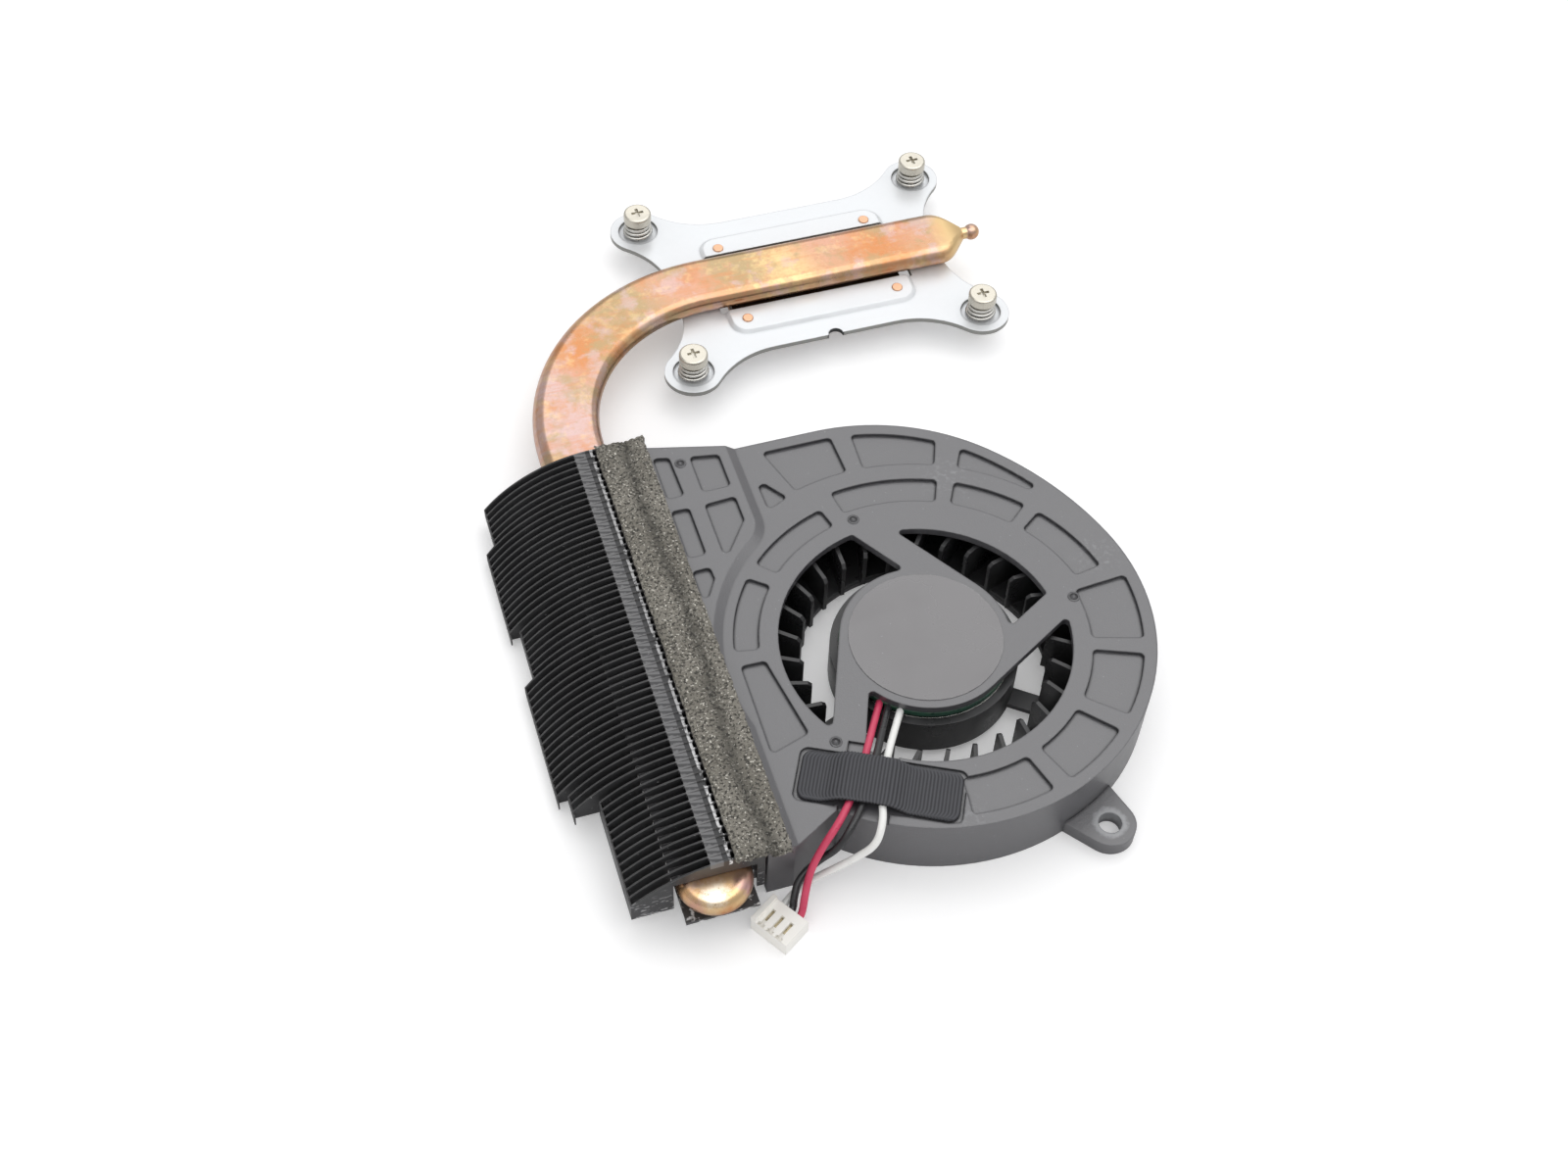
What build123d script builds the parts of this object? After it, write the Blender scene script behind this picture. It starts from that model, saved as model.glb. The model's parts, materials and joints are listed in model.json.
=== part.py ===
from build123d import *
import os
from math import atan2, cos, degrees, radians, sin, sqrt, tan

# Laptop cooling fan with its heat pipe, fin stack and processor bracket.
# Millimetres, +Z up. The origin is the centre of the copper block's lower face, which
# presses on the processor. X runs along the bracket and Y along the fin stack.

# Heat pipe: a flattened tube that lies level
PIPE_W = 10.3
PIPE_T = 3.8
PIPE_WALL = 0.5
WICK_T = 0.4
WICK_FIT = 0.02
PIPE_BOTTOM = 2.3
PIPE_Y = -0.6
PIPE_RUN_X = -47.5
BEND_R = 29.2
NOSE_START_Y = -106.6
TAPER_START_X = 22.2
TAPER_LENGTH = 4.8
TAPER_SECTIONS = [(0, 1, 1), (0.3, 0.92, 0.95), (0.7, 0.58, 0.78), (1, 0.26, 0.52)]
TIP_R = 1.0
NIPPLE_R = 1.35
NIPPLE_X = 28.9

# Contact block and the pressed steel bracket that carries it
SHEET = 0.8
BRACKET_TOP = 2.3
SCREW_X = 49.0
SCREW_Y = 34.0
LOBE_R = 4.7
WAIST_X = 22.7
WAIST_Y = 15.3
LOBE_BLEND = 14.0
BLEND_SHARE = 0.9
NOTCH_R = 1.2
WINDOW_X = 33.0
WINDOW_Y = 13.2
WINDOW_SHIFT = 0.6
PAD_X = 32.0
PAD_OUTER_Y = 11.6
PAD_RISE = 0.6
PAD_DRAFT = 45.0
PAD_WALL = 0.7
PAD_CORNER = 3.0
RECESS_R = 3.3
RECESS_DEPTH = 0.5
BLOCK_GAP = 0.2
RIVET_X = 25.8
RIVET_Y = 17.1
RIVET_R = 0.55
RIVET_HEAD_R = 0.9
RIVET_HEAD_H = 0.25
RIVET_DOME_R = 0.18
RIVET_GRIP = 1.4
RIVET_FIT = 0.02

# Four spring screws
SCREW_HEAD_R = 2.3
SCREW_HEAD_H = 1.6
SCREW_HEAD_EDGE = 0.4
SCREW_TIP_CHAMFER = 0.33
SCREW_NECK_R = 1.25
SCREW_THREAD_R = 1.0
SCREW_THREAD_L = 2.4
SCREW_REACH = 4.0
SCREW_HOLE_GAP = 0.35
DRIVE_W = 0.5
DRIVE_L = 2.0
DRIVE_DEPTH = 0.5
SPRING_H = 3.0
SPRING_WIRE = 0.5
SPRING_TURNS = 3.5
SPRING_GAP = 0.35
SPRING_CONE = 0.5
CLIP_R = 2.2
CLIP_T = 0.4
CLIP_GAP = 0.05
CLIP_FIT = 0.05
CLIP_MOUTH = 1.6

# Fin stack: one stamped fin for each pitch, in six groups with their own left ends
FIN_TOP = 9.1
FIN_RIGHT = -40.8
FIN_PITCH = 1.25
FIN_T = 0.25
FIN_FIRST_Y = -34.5
FIN_SHOULDER_X = -45.0
FIN_SLOT_SIDE = 0.5
FIN_SLOT_TOP = 0.1
BAND_LEFT = -48.1
BAND_RIGHT = -45.3
FIN_LAST = 58
FLANGE_T = 0.2
SHORT_ARC_R = 22.4
SHORT_BOTTOM = -0.7
SHORT_LEFT = -62.4
LONG_ARC_R = 23.2
LONG_BOTTOM = -2.0
LONG_LEFT = -63.8
NEAR_ARC_R = 20.3
NEAR_BOTTOM = 0.3
NEAR_LEFT = -58.9
SADDLE_T = 0.5
SADDLE_W = 10.0
SADDLE_OUT = 3.6

# Foam strip that seals the joint of fins and duct
FOAM_LEFT = -44.9
FOAM_RIGHT = -37.5
FOAM_FAR_Y = -34.7
FOAM_NEAR_Y = -108.0
FOAM_TOP = 10.1

# Fan housing: a moulded scroll with a flat outlet duct
FAN_X = -8.8
FAN_Y = -80.1
FAN_TOP = 7.6
FAN_H = 10.0
COVER_T = 1.2
WALL = 1.5
SCROLL_R = 31.05
SCROLL_START = -132.0
SCROLL_ARCS = [(SCROLL_R, 30.0), (32.8, 117.0), (49.0, 27.0), (32.4, 48.0)]
OUTLET_X = -31.6
OUTLET_INSET = 1.9
DUCT_RISE = 0.8
DUCT_STEP_X = -15.8
DUCT_FAR_Y = 45.0
DUCT_NEAR_Y = -27.0
DUCT_CORNER_X = -27.9
RIDGE_X = -15.6
RIDGE_R = 28.4
RIDGE_NEAR_X = -27.4
RIDGE_BLEND = 6.0
RIDGE_SLOPE = 1.4
INLET_R = 20.7
INLET_LIP = 1.3
HUB_PLATE_R = 12.1
LIP_ANGLES = (-4.0, 88.0)
STRUT_W = 4.6
STRUT_ANGLES = [32.3, -60.6, 158.0]
INLET_CORNER = 0.6
POCKET_DEPTH = 0.35
PANEL_DEPTH = 0.5
POCKET_MARGIN = 1.8
POCKET_CORNER = 0.7
EAR_X = 15.8
EAR_Y = -31.5
EAR_R = 3.6
EAR_ROOT_R = 5.0
EAR_ROOT_PULL = 0.8
EAR_T = 2.3
EAR_HOLE_R = 1.6
PLATE_T = 1.0
PLATE_SEAT = 0.7
PLATE_FIT = 0.05
PLATE_INLET_R = 18.4

# Shallow moulded pockets in the cover, in the fan's own axes: ring sectors by their angles,
# and straight-sided panels by their corners
RIM_POCKETS = [(4.0, -17.0), (-22.0, -42.5), (-48.0, -69.0), (-74.5, -98.0)]
OUTER_POCKETS = [(107.0, 91.5), (87.0, 67.5), (61.5, 39.5)]
INNER_POCKETS = [(99.0, 66.5), (61.5, 39.5), (35.0, 9.5)]
LEFT_POCKETS = [(135.0, 105.0), (169.0, 141.0)]
RIM_POCKET_R = 23.4
OUTER_POCKET_R = 32.0
INNER_POCKET_R = (24.8, 29.1)
LEFT_POCKET_R = (23.4, 27.0)
FIELD_R = 48.0
DISC_PANELS = [
    [(-26.4, 2.5), (-22.8, 2.4), (-20.7, -10.7), (-26.6, -12.5)],
    [(-14.4, 32.8), (-13.5, 33.5), (-10.8, 29.7), (-14.3, 28.2)],
]
DUCT_PANELS = [
    [(-28.2, 42.0), (-25.7, 41.4), (-25.5, 33.7), (-28.2, 33.7)],
    [(-22.8, 40.8), (-18.4, 40.0), (-18.4, 33.6), (-22.8, 33.6)],
    [(-23.2, 31.2), (-18.4, 31.5), (-18.4, 26.8), (-22.2, 21.6), (-23.2, 21.6)],
    [(-28.3, 31.3), (-25.5, 31.2), (-25.5, 22.2), (-28.3, 22.2)],
    [(-28.4, 19.7), (-25.7, 19.8), (-25.6, 17.6), (-28.4, 12.8)],
]

# Motor that hangs from the hub plate, and the impeller that turns round it
LABEL_R = 10.9
LABEL_T = 0.1
BOARD_R = 12.2
BOARD_T = 0.8
TUBE_R = 3.2
TUBE_SEAT = 0.7
TUBE_LENGTH = 5.6
SLEEVE_R = 2.3
SLEEVE_LENGTH = 4.4
SHAFT_R = 1.0
SHAFT_FIT = 0.02
THRUST_T = 0.4
THRUST_GAP = 0.05
RUNNING_GAP = 0.4
HUB_R = 13.4
HUB_WALL = 1.2
HUB_FLOOR = 1.2
HUB_BOSS_R = 2.6
HUB_BOSS_H = 0.3
FLOOR_GAP = 1.4
YOKE_T = 0.8
MAGNET_T = 1.2
CORE_T = 2.6
CORE_TEETH = 4
CORE_RING = 1.6
TOOTH_W = 3.2
TOOTH_TIP = 1.4
TOOTH_SPAN = 66.0
COIL_T = 0.9
BLADE_COUNT = 29
BLADE_T = 0.6
BLADE_INNER_R = 17.4
BLADE_REACH = 10.0
BLADE_LEAN = 22.0
BLADE_CUT = 0.6
BLADE_GAP = 0.5
RING_INNER_R = 17.9
RING_OUTER_R = 25.6
RING_T = 0.8
SPOKE_COUNT = 3
SPOKE_W = 3.0
SPOKE_PHASE = -38.0

# Cloth tape over the three wires, and the plug on their ends
TAPE_X = -14.2
TAPE_Y = -21.3
TAPE_TURN = -27.0
TAPE_L = 21.5
TAPE_W = 7.3
TAPE_T = 0.4
TAPE_CORNER = 1.2
TAPE_MARGIN = 0.6
TAPE_BUMP_MID = -1.7
TAPE_BUMP_W = 6.2
TAPE_BUMP_H = 1.4
TAPE_BUMP_SLOPE = 0.9
BUMP_ANGLE = 52.0
CHANNEL_W = 7.0
CHANNEL_IN = 6.2
CHANNEL_OUT = 9.0
WIRE_D = 1.05
PLUG_X = -40.45
PLUG_Y = -112.8
PLUG_TURN = -57.5
PLUG_W = 6.0
PLUG_DEPTH = 4.6
PLUG_H = 2.4
PLUG_PITCH = 1.5
PLUG_HOLE_GAP = 0.1
PLUG_WIRE_SEAT = 1.2
PLUG_WIRE_Z = 1.2
PLUG_SLOT_W = 0.5
PLUG_SLOT_L = 2.8
PLUG_SLOT_SHIFT = -0.6
PLUG_SLOT_DEPTH = 0.6
PLUG_BEAK = 0.7
BEND_SHARE = 0.45
CONTACT_W = 0.7
CONTACT_H = 0.5
CONTACT_L = 1.8
RED_ROUTE = [(-18.2, -87.7, 5.9), (-20.4, -91.3, 6.8), (-22.7, -95.3, 7.8), (-25.1, -99.0, 7.85),
             (-27.7, -102.7, 8.0), (-30.5, -105.7, 7.9), (-32.8, -106.9, 5.6), (-35.0, -108.6, 3.4),
             (-36.4, -110.8, 1.2), (-37.3, -112.55, -1.1), (-38.7, -113.45, -1.2)]
BLACK_ROUTE = [(-17.3, -88.7, 5.9), (-19.4, -92.3, 6.8), (-21.6, -96.2, 7.8), (-23.9, -99.9, 7.85),
               (-26.2, -103.5, 7.95), (-28.6, -106.2, 7.7), (-30.8, -107.6, 5.3), (-33.6, -107.3, 2.9),
               (-36.5, -108.4, 1.5), (-37.7, -110.2, 0.0), (-38.1, -111.3, -1.15), (-39.5, -112.2, -1.2)]
WHITE_ROUTE = [(-15.9, -89.75, 5.9), (-18.0, -93.1, 6.8), (-20.3, -96.8, 7.8), (-22.3, -100.5, 7.85),
               (-23.7, -104.0, 8.0), (-24.7, -107.1, 8.1), (-26.2, -109.1, 6.2), (-28.8, -108.9, 4.0),
               (-31.7, -108.6, 2.0), (-34.6, -108.3, 0.2), (-37.2, -108.9, -0.9), (-38.9, -110.05, -1.2),
               (-40.3, -110.95, -1.2)]

PIPE_TOP = PIPE_BOTTOM + PIPE_T
PIPE_MID = PIPE_BOTTOM + PIPE_T / 2
BRACKET_BOTTOM = BRACKET_TOP - SHEET
PAD_UNDER = BRACKET_BOTTOM + PAD_RISE
PAD_TOP = BRACKET_TOP + PAD_RISE
RECESS_TOP = BRACKET_TOP - RECESS_DEPTH
RECESS_UNDER = RECESS_TOP - SHEET
FAN_BOTTOM = FAN_TOP - FAN_H
COVER_UNDER = FAN_TOP - COVER_T
PLATE_TOP = FAN_BOTTOM + PLATE_T


def fan_plane(z):
    """Return the level plane at height z with its origin on the fan's axis."""
    return Plane(origin=(FAN_X, FAN_Y, z))


def save(part, name):
    """Label a finished piece and write it to its own STEP file."""
    part.label = name
    export_step(part, f"parts/{name}.step")


# Heat pipe
with BuildPart() as heat_pipe:
    with BuildLine():
        fin_run = Line((PIPE_RUN_X, NOSE_START_Y, PIPE_MID), (PIPE_RUN_X, PIPE_Y - BEND_R, PIPE_MID))
        bend = CenterArc((PIPE_RUN_X + BEND_R, PIPE_Y - BEND_R, PIPE_MID), BEND_R, 180, -90)
        Line(bend @ 1, (TAPER_START_X, PIPE_Y, PIPE_MID))
    with BuildSketch(Plane(origin=fin_run @ 0, x_dir=(1, 0, 0), z_dir=(0, 1, 0))):
        SlotOverall(PIPE_W, PIPE_T)
        SlotOverall(PIPE_W - 2 * PIPE_WALL, PIPE_T - 2 * PIPE_WALL, mode=Mode.SUBTRACT)
    sweep()
    # the sealed near end is rounded in plan
    with BuildSketch(Plane(origin=fin_run @ 0, x_dir=(1, 0, 0), z_dir=(0, -1, 0))):
        SlotOverall(PIPE_W, PIPE_T)
        with Locations((PIPE_W / 2, 0)):
            Rectangle(PIPE_W, PIPE_T, mode=Mode.SUBTRACT)
    revolve(axis=Axis(fin_run @ 0, (0, 0, 1)), revolution_arc=180)
    # the far end is drawn down to the crimped fill tube
    for share, wide, thick in TAPER_SECTIONS:
        x = TAPER_START_X + share * TAPER_LENGTH
        with BuildSketch(Plane(origin=(x, PIPE_Y, PIPE_MID), x_dir=(0, 1, 0), z_dir=(1, 0, 0))):
            SlotOverall(PIPE_W * wide, PIPE_T * thick)
    loft()
    tube_start = TAPER_START_X + TAPER_LENGTH
    with BuildSketch(Plane(origin=(tube_start, PIPE_Y, PIPE_MID), x_dir=(0, 1, 0), z_dir=(1, 0, 0))):
        Circle(TIP_R)
    extrude(amount=NIPPLE_X - tube_start)
    with Locations((NIPPLE_X, PIPE_Y, PIPE_MID)):
        Sphere(NIPPLE_R)
save(heat_pipe.part, "heat_pipe")

# Wick: the sintered lining that carries the liquid back along the pipe
wick_w = PIPE_W - 2 * PIPE_WALL - 2 * WICK_FIT
wick_h = PIPE_T - 2 * PIPE_WALL - 2 * WICK_FIT
with BuildPart() as pipe_wick:
    with BuildLine():
        Line(fin_run @ 0, fin_run @ 1)
        CenterArc((PIPE_RUN_X + BEND_R, PIPE_Y - BEND_R, PIPE_MID), BEND_R, 180, -90)
        Line(bend @ 1, (TAPER_START_X, PIPE_Y, PIPE_MID))
    with BuildSketch(Plane(origin=fin_run @ 0, x_dir=(1, 0, 0), z_dir=(0, 1, 0))):
        SlotOverall(wick_w, wick_h)
        SlotOverall(wick_w - 2 * WICK_T, wick_h - 2 * WICK_T, mode=Mode.SUBTRACT)
    sweep()
save(pipe_wick.part, "pipe_wick")

# Processor bracket: pressed sheet with a window, two raised pads and four sunk screw seats
lobe_x = SCREW_X / 2
lobe_y = SCREW_Y / 2
end_blend = (lobe_y**2 / (LOBE_R + lobe_x - WAIST_X) - LOBE_R - WAIST_X + lobe_x) / 2
side_blend = (lobe_x**2 / (LOBE_R + lobe_y - WAIST_Y) - LOBE_R - WAIST_Y + lobe_y) / 2
pad_inner_y = WINDOW_Y / 2
pad_mid_y = (PAD_OUTER_Y + pad_inner_y - PAD_CORNER) / 2
pad_y = PAD_OUTER_Y - pad_inner_y + PAD_CORNER
pad_slope = PAD_RISE * tan(radians(PAD_DRAFT))
with BuildPart() as cpu_bracket:
    with BuildSketch(Plane.XY.offset(BRACKET_BOTTOM)) as bracket_outline:
        Rectangle(2 * WAIST_X, 2 * WAIST_Y)
        with GridLocations(SCREW_X, SCREW_Y, 2, 2):
            Circle(LOBE_R)
        fillet(bracket_outline.vertices(), min(LOBE_BLEND, BLEND_SHARE * end_blend, BLEND_SHARE * side_blend))
        with Locations((0, -WAIST_Y)):
            Circle(NOTCH_R, mode=Mode.SUBTRACT)
    extrude(amount=SHEET)
    with BuildSketch(Plane.XY.offset(BRACKET_TOP)):
        with GridLocations(0, 2 * pad_mid_y, 1, 2):
            RectangleRounded(PAD_X, pad_y, PAD_CORNER)
    extrude(amount=PAD_RISE, taper=PAD_DRAFT)
    with BuildSketch(Plane.XY.offset(BRACKET_BOTTOM)):
        with GridLocations(0, 2 * pad_mid_y, 1, 2):
            RectangleRounded(PAD_X - 2 * PAD_WALL, pad_y - 2 * PAD_WALL, PAD_CORNER - PAD_WALL)
    extrude(amount=PAD_RISE, taper=PAD_DRAFT, mode=Mode.SUBTRACT)
    with BuildSketch(Plane.XY.offset(BRACKET_BOTTOM)):
        with Locations((0, WINDOW_SHIFT)):
            Rectangle(WINDOW_X, WINDOW_Y)
    extrude(amount=PAD_TOP - BRACKET_BOTTOM, mode=Mode.SUBTRACT)
    with BuildSketch(Plane.XY.offset(RECESS_UNDER)):
        with GridLocations(SCREW_X, SCREW_Y, 2, 2):
            Circle(RECESS_R + SHEET)
    extrude(amount=BRACKET_TOP - RECESS_UNDER)
    with BuildSketch(Plane.XY.offset(RECESS_TOP)):
        with GridLocations(SCREW_X, SCREW_Y, 2, 2):
            Circle(RECESS_R)
    extrude(amount=RECESS_DEPTH, mode=Mode.SUBTRACT)
    with BuildSketch(Plane.XY.offset(RECESS_UNDER)):
        with GridLocations(SCREW_X, SCREW_Y, 2, 2):
            Circle(SCREW_NECK_R + SCREW_HOLE_GAP)
    extrude(amount=SHEET, mode=Mode.SUBTRACT)
    with BuildSketch(Plane.XY.offset(PAD_UNDER)):
        with GridLocations(RIVET_X, RIVET_Y, 2, 2):
            Circle(RIVET_R + RIVET_FIT)
    extrude(amount=SHEET, mode=Mode.SUBTRACT)
save(cpu_bracket.part, "cpu_bracket")

# Contact block: copper, its edges under the pads, raised along the middle to meet the pipe
block_x = PAD_X - 2 * (PAD_WALL + pad_slope + BLOCK_GAP)
block_y = 2 * (PAD_OUTER_Y - PAD_WALL - pad_slope - BLOCK_GAP)
with BuildPart() as contact_block:
    with BuildSketch():
        RectangleRounded(block_x, block_y, PAD_CORNER - PAD_WALL)
    extrude(amount=PAD_UNDER)
    with BuildSketch():
        with Locations((0, PIPE_Y)):
            Rectangle(block_x, PIPE_W)
    extrude(amount=PIPE_BOTTOM)
    with BuildSketch(Plane.XY.offset(PAD_UNDER - RIVET_GRIP)):
        with GridLocations(RIVET_X, RIVET_Y, 2, 2):
            Circle(RIVET_R + RIVET_FIT)
    extrude(amount=RIVET_GRIP, mode=Mode.SUBTRACT)
save(contact_block.part, "contact_block")

# Four copper rivets that hold the block under the pads
with BuildPart() as block_rivets:
    with BuildSketch(Plane.XY.offset(PAD_UNDER - RIVET_GRIP)):
        with GridLocations(RIVET_X, RIVET_Y, 2, 2):
            Circle(RIVET_R)
    extrude(amount=RIVET_GRIP + SHEET)
    with BuildSketch(Plane.XY.offset(PAD_TOP)):
        with GridLocations(RIVET_X, RIVET_Y, 2, 2):
            Circle(RIVET_HEAD_R)
    extrude(amount=RIVET_HEAD_H)
    fillet(block_rivets.edges().filter_by(GeomType.CIRCLE).group_by(Axis.Z)[-1], RIVET_DOME_R)
save(block_rivets.part, "block_rivets")

# Spring screws, their springs and the clips that keep them in the bracket
head_under = RECESS_TOP + SPRING_H
clip_top = RECESS_UNDER - CLIP_GAP
screw_tip = RECESS_TOP - SCREW_REACH
neck_bottom = screw_tip + SCREW_THREAD_L
for number, (side_x, side_y) in enumerate(((-1, 1), (1, 1), (1, -1), (-1, -1)), start=1):
    screw_x = side_x * lobe_x
    screw_y = side_y * lobe_y
    with BuildPart() as spring_screw:
        with BuildSketch(Plane(origin=(screw_x, screw_y, head_under))):
            Circle(SCREW_HEAD_R)
        extrude(amount=SCREW_HEAD_H)
        fillet(spring_screw.edges().group_by(Axis.Z)[-1], SCREW_HEAD_EDGE)
        with BuildSketch(Plane(origin=(screw_x, screw_y, neck_bottom))):
            Circle(SCREW_NECK_R)
        extrude(amount=head_under - neck_bottom)
        with BuildSketch(Plane(origin=(screw_x, screw_y, screw_tip))):
            Circle(SCREW_THREAD_R)
        extrude(amount=SCREW_THREAD_L)
        chamfer(spring_screw.edges().group_by(Axis.Z)[0], SCREW_TIP_CHAMFER)
        with BuildSketch(Plane(origin=(screw_x, screw_y, head_under + SCREW_HEAD_H - DRIVE_DEPTH))):
            Rectangle(DRIVE_L, DRIVE_W)
            Rectangle(DRIVE_W, DRIVE_L)
        extrude(amount=DRIVE_DEPTH, mode=Mode.SUBTRACT)
        with BuildSketch(Plane(origin=(screw_x, screw_y, clip_top - CLIP_T - CLIP_FIT))):
            Circle(SCREW_NECK_R)
            Circle(SCREW_THREAD_R, mode=Mode.SUBTRACT)
        extrude(amount=CLIP_T + 2 * CLIP_FIT, mode=Mode.SUBTRACT)
    save(spring_screw.part, f"spring_screw_{number}")

    coil_r = SCREW_NECK_R + SPRING_GAP + SPRING_WIRE / 2
    coil_h = SPRING_H - SPRING_WIRE
    coil_z = RECESS_TOP + SPRING_WIRE / 2
    cone = degrees(atan2(-SPRING_CONE, coil_h))
    with BuildPart() as screw_spring:
        with BuildLine():
            coil = Helix(coil_h / SPRING_TURNS, coil_h, coil_r + SPRING_CONE,
                         center=(screw_x, screw_y, coil_z), cone_angle=cone)
        with BuildSketch(Plane(origin=coil @ 0, z_dir=coil % 0)):
            Circle(SPRING_WIRE / 2)
        sweep(is_frenet=True)
    save(screw_spring.part, f"screw_spring_{number}")

    with BuildPart() as screw_clip:
        with BuildSketch(Plane(origin=(screw_x, screw_y, clip_top - CLIP_T))):
            Circle(CLIP_R)
            Circle(SCREW_THREAD_R + CLIP_FIT, mode=Mode.SUBTRACT)
            with Locations((0, -CLIP_R)):
                Rectangle(CLIP_MOUTH, 2 * CLIP_R, mode=Mode.SUBTRACT)
        extrude(amount=CLIP_T)
    save(screw_clip.part, f"screw_clip_{number}")


# Fin stack
def arc_height(radius, x):
    """Return the height of a fin's round shoulder at x."""
    return FIN_TOP - radius + sqrt(radius**2 - (FIN_SHOULDER_X - x) ** 2)


def fin_group(first, last, radius, bottom, left):
    """Build a run of fins joined by folded flanges.

    Fins are numbered from the far end. The flanges make the top band, a collar over the
    pipe and the closed left end. The stack's last fin has none.
    """
    mid_x = (FIN_SHOULDER_X + left) / 2
    left_top = arc_height(radius, left)
    slot_top = PIPE_TOP + FIN_SLOT_TOP
    slot_w = PIPE_W + 2 * FIN_SLOT_SIDE
    flange_top = arc_height(radius, BAND_LEFT)
    with BuildPart() as group:
        for index in range(first, last + 1):
            y = FIN_FIRST_Y - index * FIN_PITCH
            with BuildSketch(Plane.XZ.offset(-y)):
                with BuildLine():
                    ThreePointArc((FIN_SHOULDER_X, FIN_TOP), (mid_x, arc_height(radius, mid_x)),
                                  (left, left_top))
                    Polyline((left, left_top), (left, bottom), (FIN_RIGHT, bottom), (FIN_RIGHT, FIN_TOP),
                             (FIN_SHOULDER_X, FIN_TOP))
                make_face()
                with Locations((PIPE_RUN_X, slot_top)):
                    Rectangle(slot_w, slot_top - bottom, align=(Align.CENTER, Align.MAX), mode=Mode.SUBTRACT)
            extrude(amount=FIN_T)
            if index < FIN_LAST:
                with BuildSketch(Plane.XZ.offset(FIN_T - y)):
                    with Locations((BAND_LEFT, flange_top)):
                        Rectangle(BAND_RIGHT - BAND_LEFT, FLANGE_T, align=(Align.MIN, Align.MAX))
                    with Locations((PIPE_RUN_X, slot_top)):
                        Rectangle(slot_w, FLANGE_T, align=(Align.CENTER, Align.MIN))
                    with Locations((left, bottom)):
                        Rectangle(FLANGE_T, left_top - bottom, align=(Align.MIN, Align.MIN))
                extrude(amount=FIN_PITCH - FIN_T)
    return group.part


FIN_GROUPS = {
    "fins_a": (0, 5, SHORT_ARC_R, SHORT_BOTTOM, SHORT_LEFT),
    "fins_b": (6, 18, LONG_ARC_R, LONG_BOTTOM, LONG_LEFT),
    "fins_c": (19, 25, SHORT_ARC_R, SHORT_BOTTOM, SHORT_LEFT),
    "fins_d": (26, 41, LONG_ARC_R, LONG_BOTTOM, LONG_LEFT),
    "fins_e": (42, 44, SHORT_ARC_R, SHORT_BOTTOM, SHORT_LEFT),
    "fins_f": (45, FIN_LAST, NEAR_ARC_R, NEAR_BOTTOM, NEAR_LEFT),
}
for name, sizes in FIN_GROUPS.items():
    save(fin_group(*sizes), name)

# Saddle: the dark strip soldered under the pipe, standing out past the last fin
stack_far = FIN_FIRST_Y
stack_near = FIN_FIRST_Y - FIN_LAST * FIN_PITCH - FIN_T
with BuildPart() as pipe_saddle:
    with BuildSketch(Plane.XY.offset(PIPE_BOTTOM - SADDLE_T)):
        with Locations((PIPE_RUN_X, stack_far)):
            Rectangle(SADDLE_W, stack_far - stack_near + SADDLE_OUT, align=(Align.CENTER, Align.MAX))
    extrude(amount=SADDLE_T)
save(pipe_saddle.part, "pipe_saddle")

# Foam strip: its underside steps down from the fins to the duct
duct_top = FAN_TOP + DUCT_RISE
outlet_x = FAN_X + OUTLET_X
with BuildPart() as foam_seal:
    with BuildSketch(Plane.XZ.offset(-FOAM_FAR_Y)):
        with BuildLine():
            Polyline((FOAM_LEFT, FIN_TOP), (outlet_x, FIN_TOP), (outlet_x, duct_top), (FOAM_RIGHT, duct_top),
                     (FOAM_RIGHT, FOAM_TOP), (FOAM_LEFT, FOAM_TOP), close=True)
        make_face()
    extrude(amount=FOAM_FAR_Y - FOAM_NEAR_Y)
save(foam_seal.part, "foam_seal")

# Fan housing
with BuildSketch() as scroll:
    with BuildLine():
        start = Vector(SCROLL_R * cos(radians(SCROLL_START)), SCROLL_R * sin(radians(SCROLL_START)))
        point = start
        heading = Vector(cos(radians(SCROLL_START + 90)), sin(radians(SCROLL_START + 90)))
        for arc_r, arc_angle in SCROLL_ARCS:
            arc = JernArc(point, heading, arc_r, arc_angle)
            point = arc @ 1
            heading = arc % 1
        Polyline(point, (DUCT_STEP_X, point.Y), (OUTLET_X, DUCT_FAR_Y), (OUTLET_X, DUCT_NEAR_Y),
                 (DUCT_CORNER_X, DUCT_NEAR_Y), start)
    make_face()

with BuildSketch() as cavity:
    add(scroll.sketch_local)
    offset(amount=-WALL)
    with Locations((OUTLET_X - WALL, DUCT_NEAR_Y + WALL)):
        Rectangle(3 * WALL, DUCT_FAR_Y - OUTLET_INSET - DUCT_NEAR_Y - WALL, align=(Align.MIN, Align.MIN))

with BuildSketch() as plate_seat:
    add(scroll.sketch_local)
    offset(amount=-PLATE_SEAT)

with BuildSketch() as pocket_field:
    add(scroll.sketch_local)
    offset(amount=-POCKET_MARGIN)

ridge_far_y = sqrt(RIDGE_R**2 - RIDGE_X**2)
ridge_near_y = sqrt(RIDGE_R**2 - RIDGE_NEAR_X**2)
duct_over = 3 * RIDGE_SLOPE
with BuildSketch() as duct_side:
    with Locations((RIDGE_X, DUCT_FAR_Y + duct_over)):
        Rectangle(duct_over + RIDGE_X - OUTLET_X, DUCT_FAR_Y - DUCT_NEAR_Y + 2 * duct_over,
                  align=(Align.MAX, Align.MAX))
    Circle(RIDGE_R, mode=Mode.SUBTRACT)
    with Locations((RIDGE_NEAR_X, ridge_near_y)):
        Rectangle(RIDGE_R, 2 * SCROLL_R, align=(Align.MIN, Align.MAX), mode=Mode.SUBTRACT)
    fillet(duct_side.vertices().sort_by_distance((RIDGE_X, ridge_far_y))[0], RIDGE_BLEND)


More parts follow.
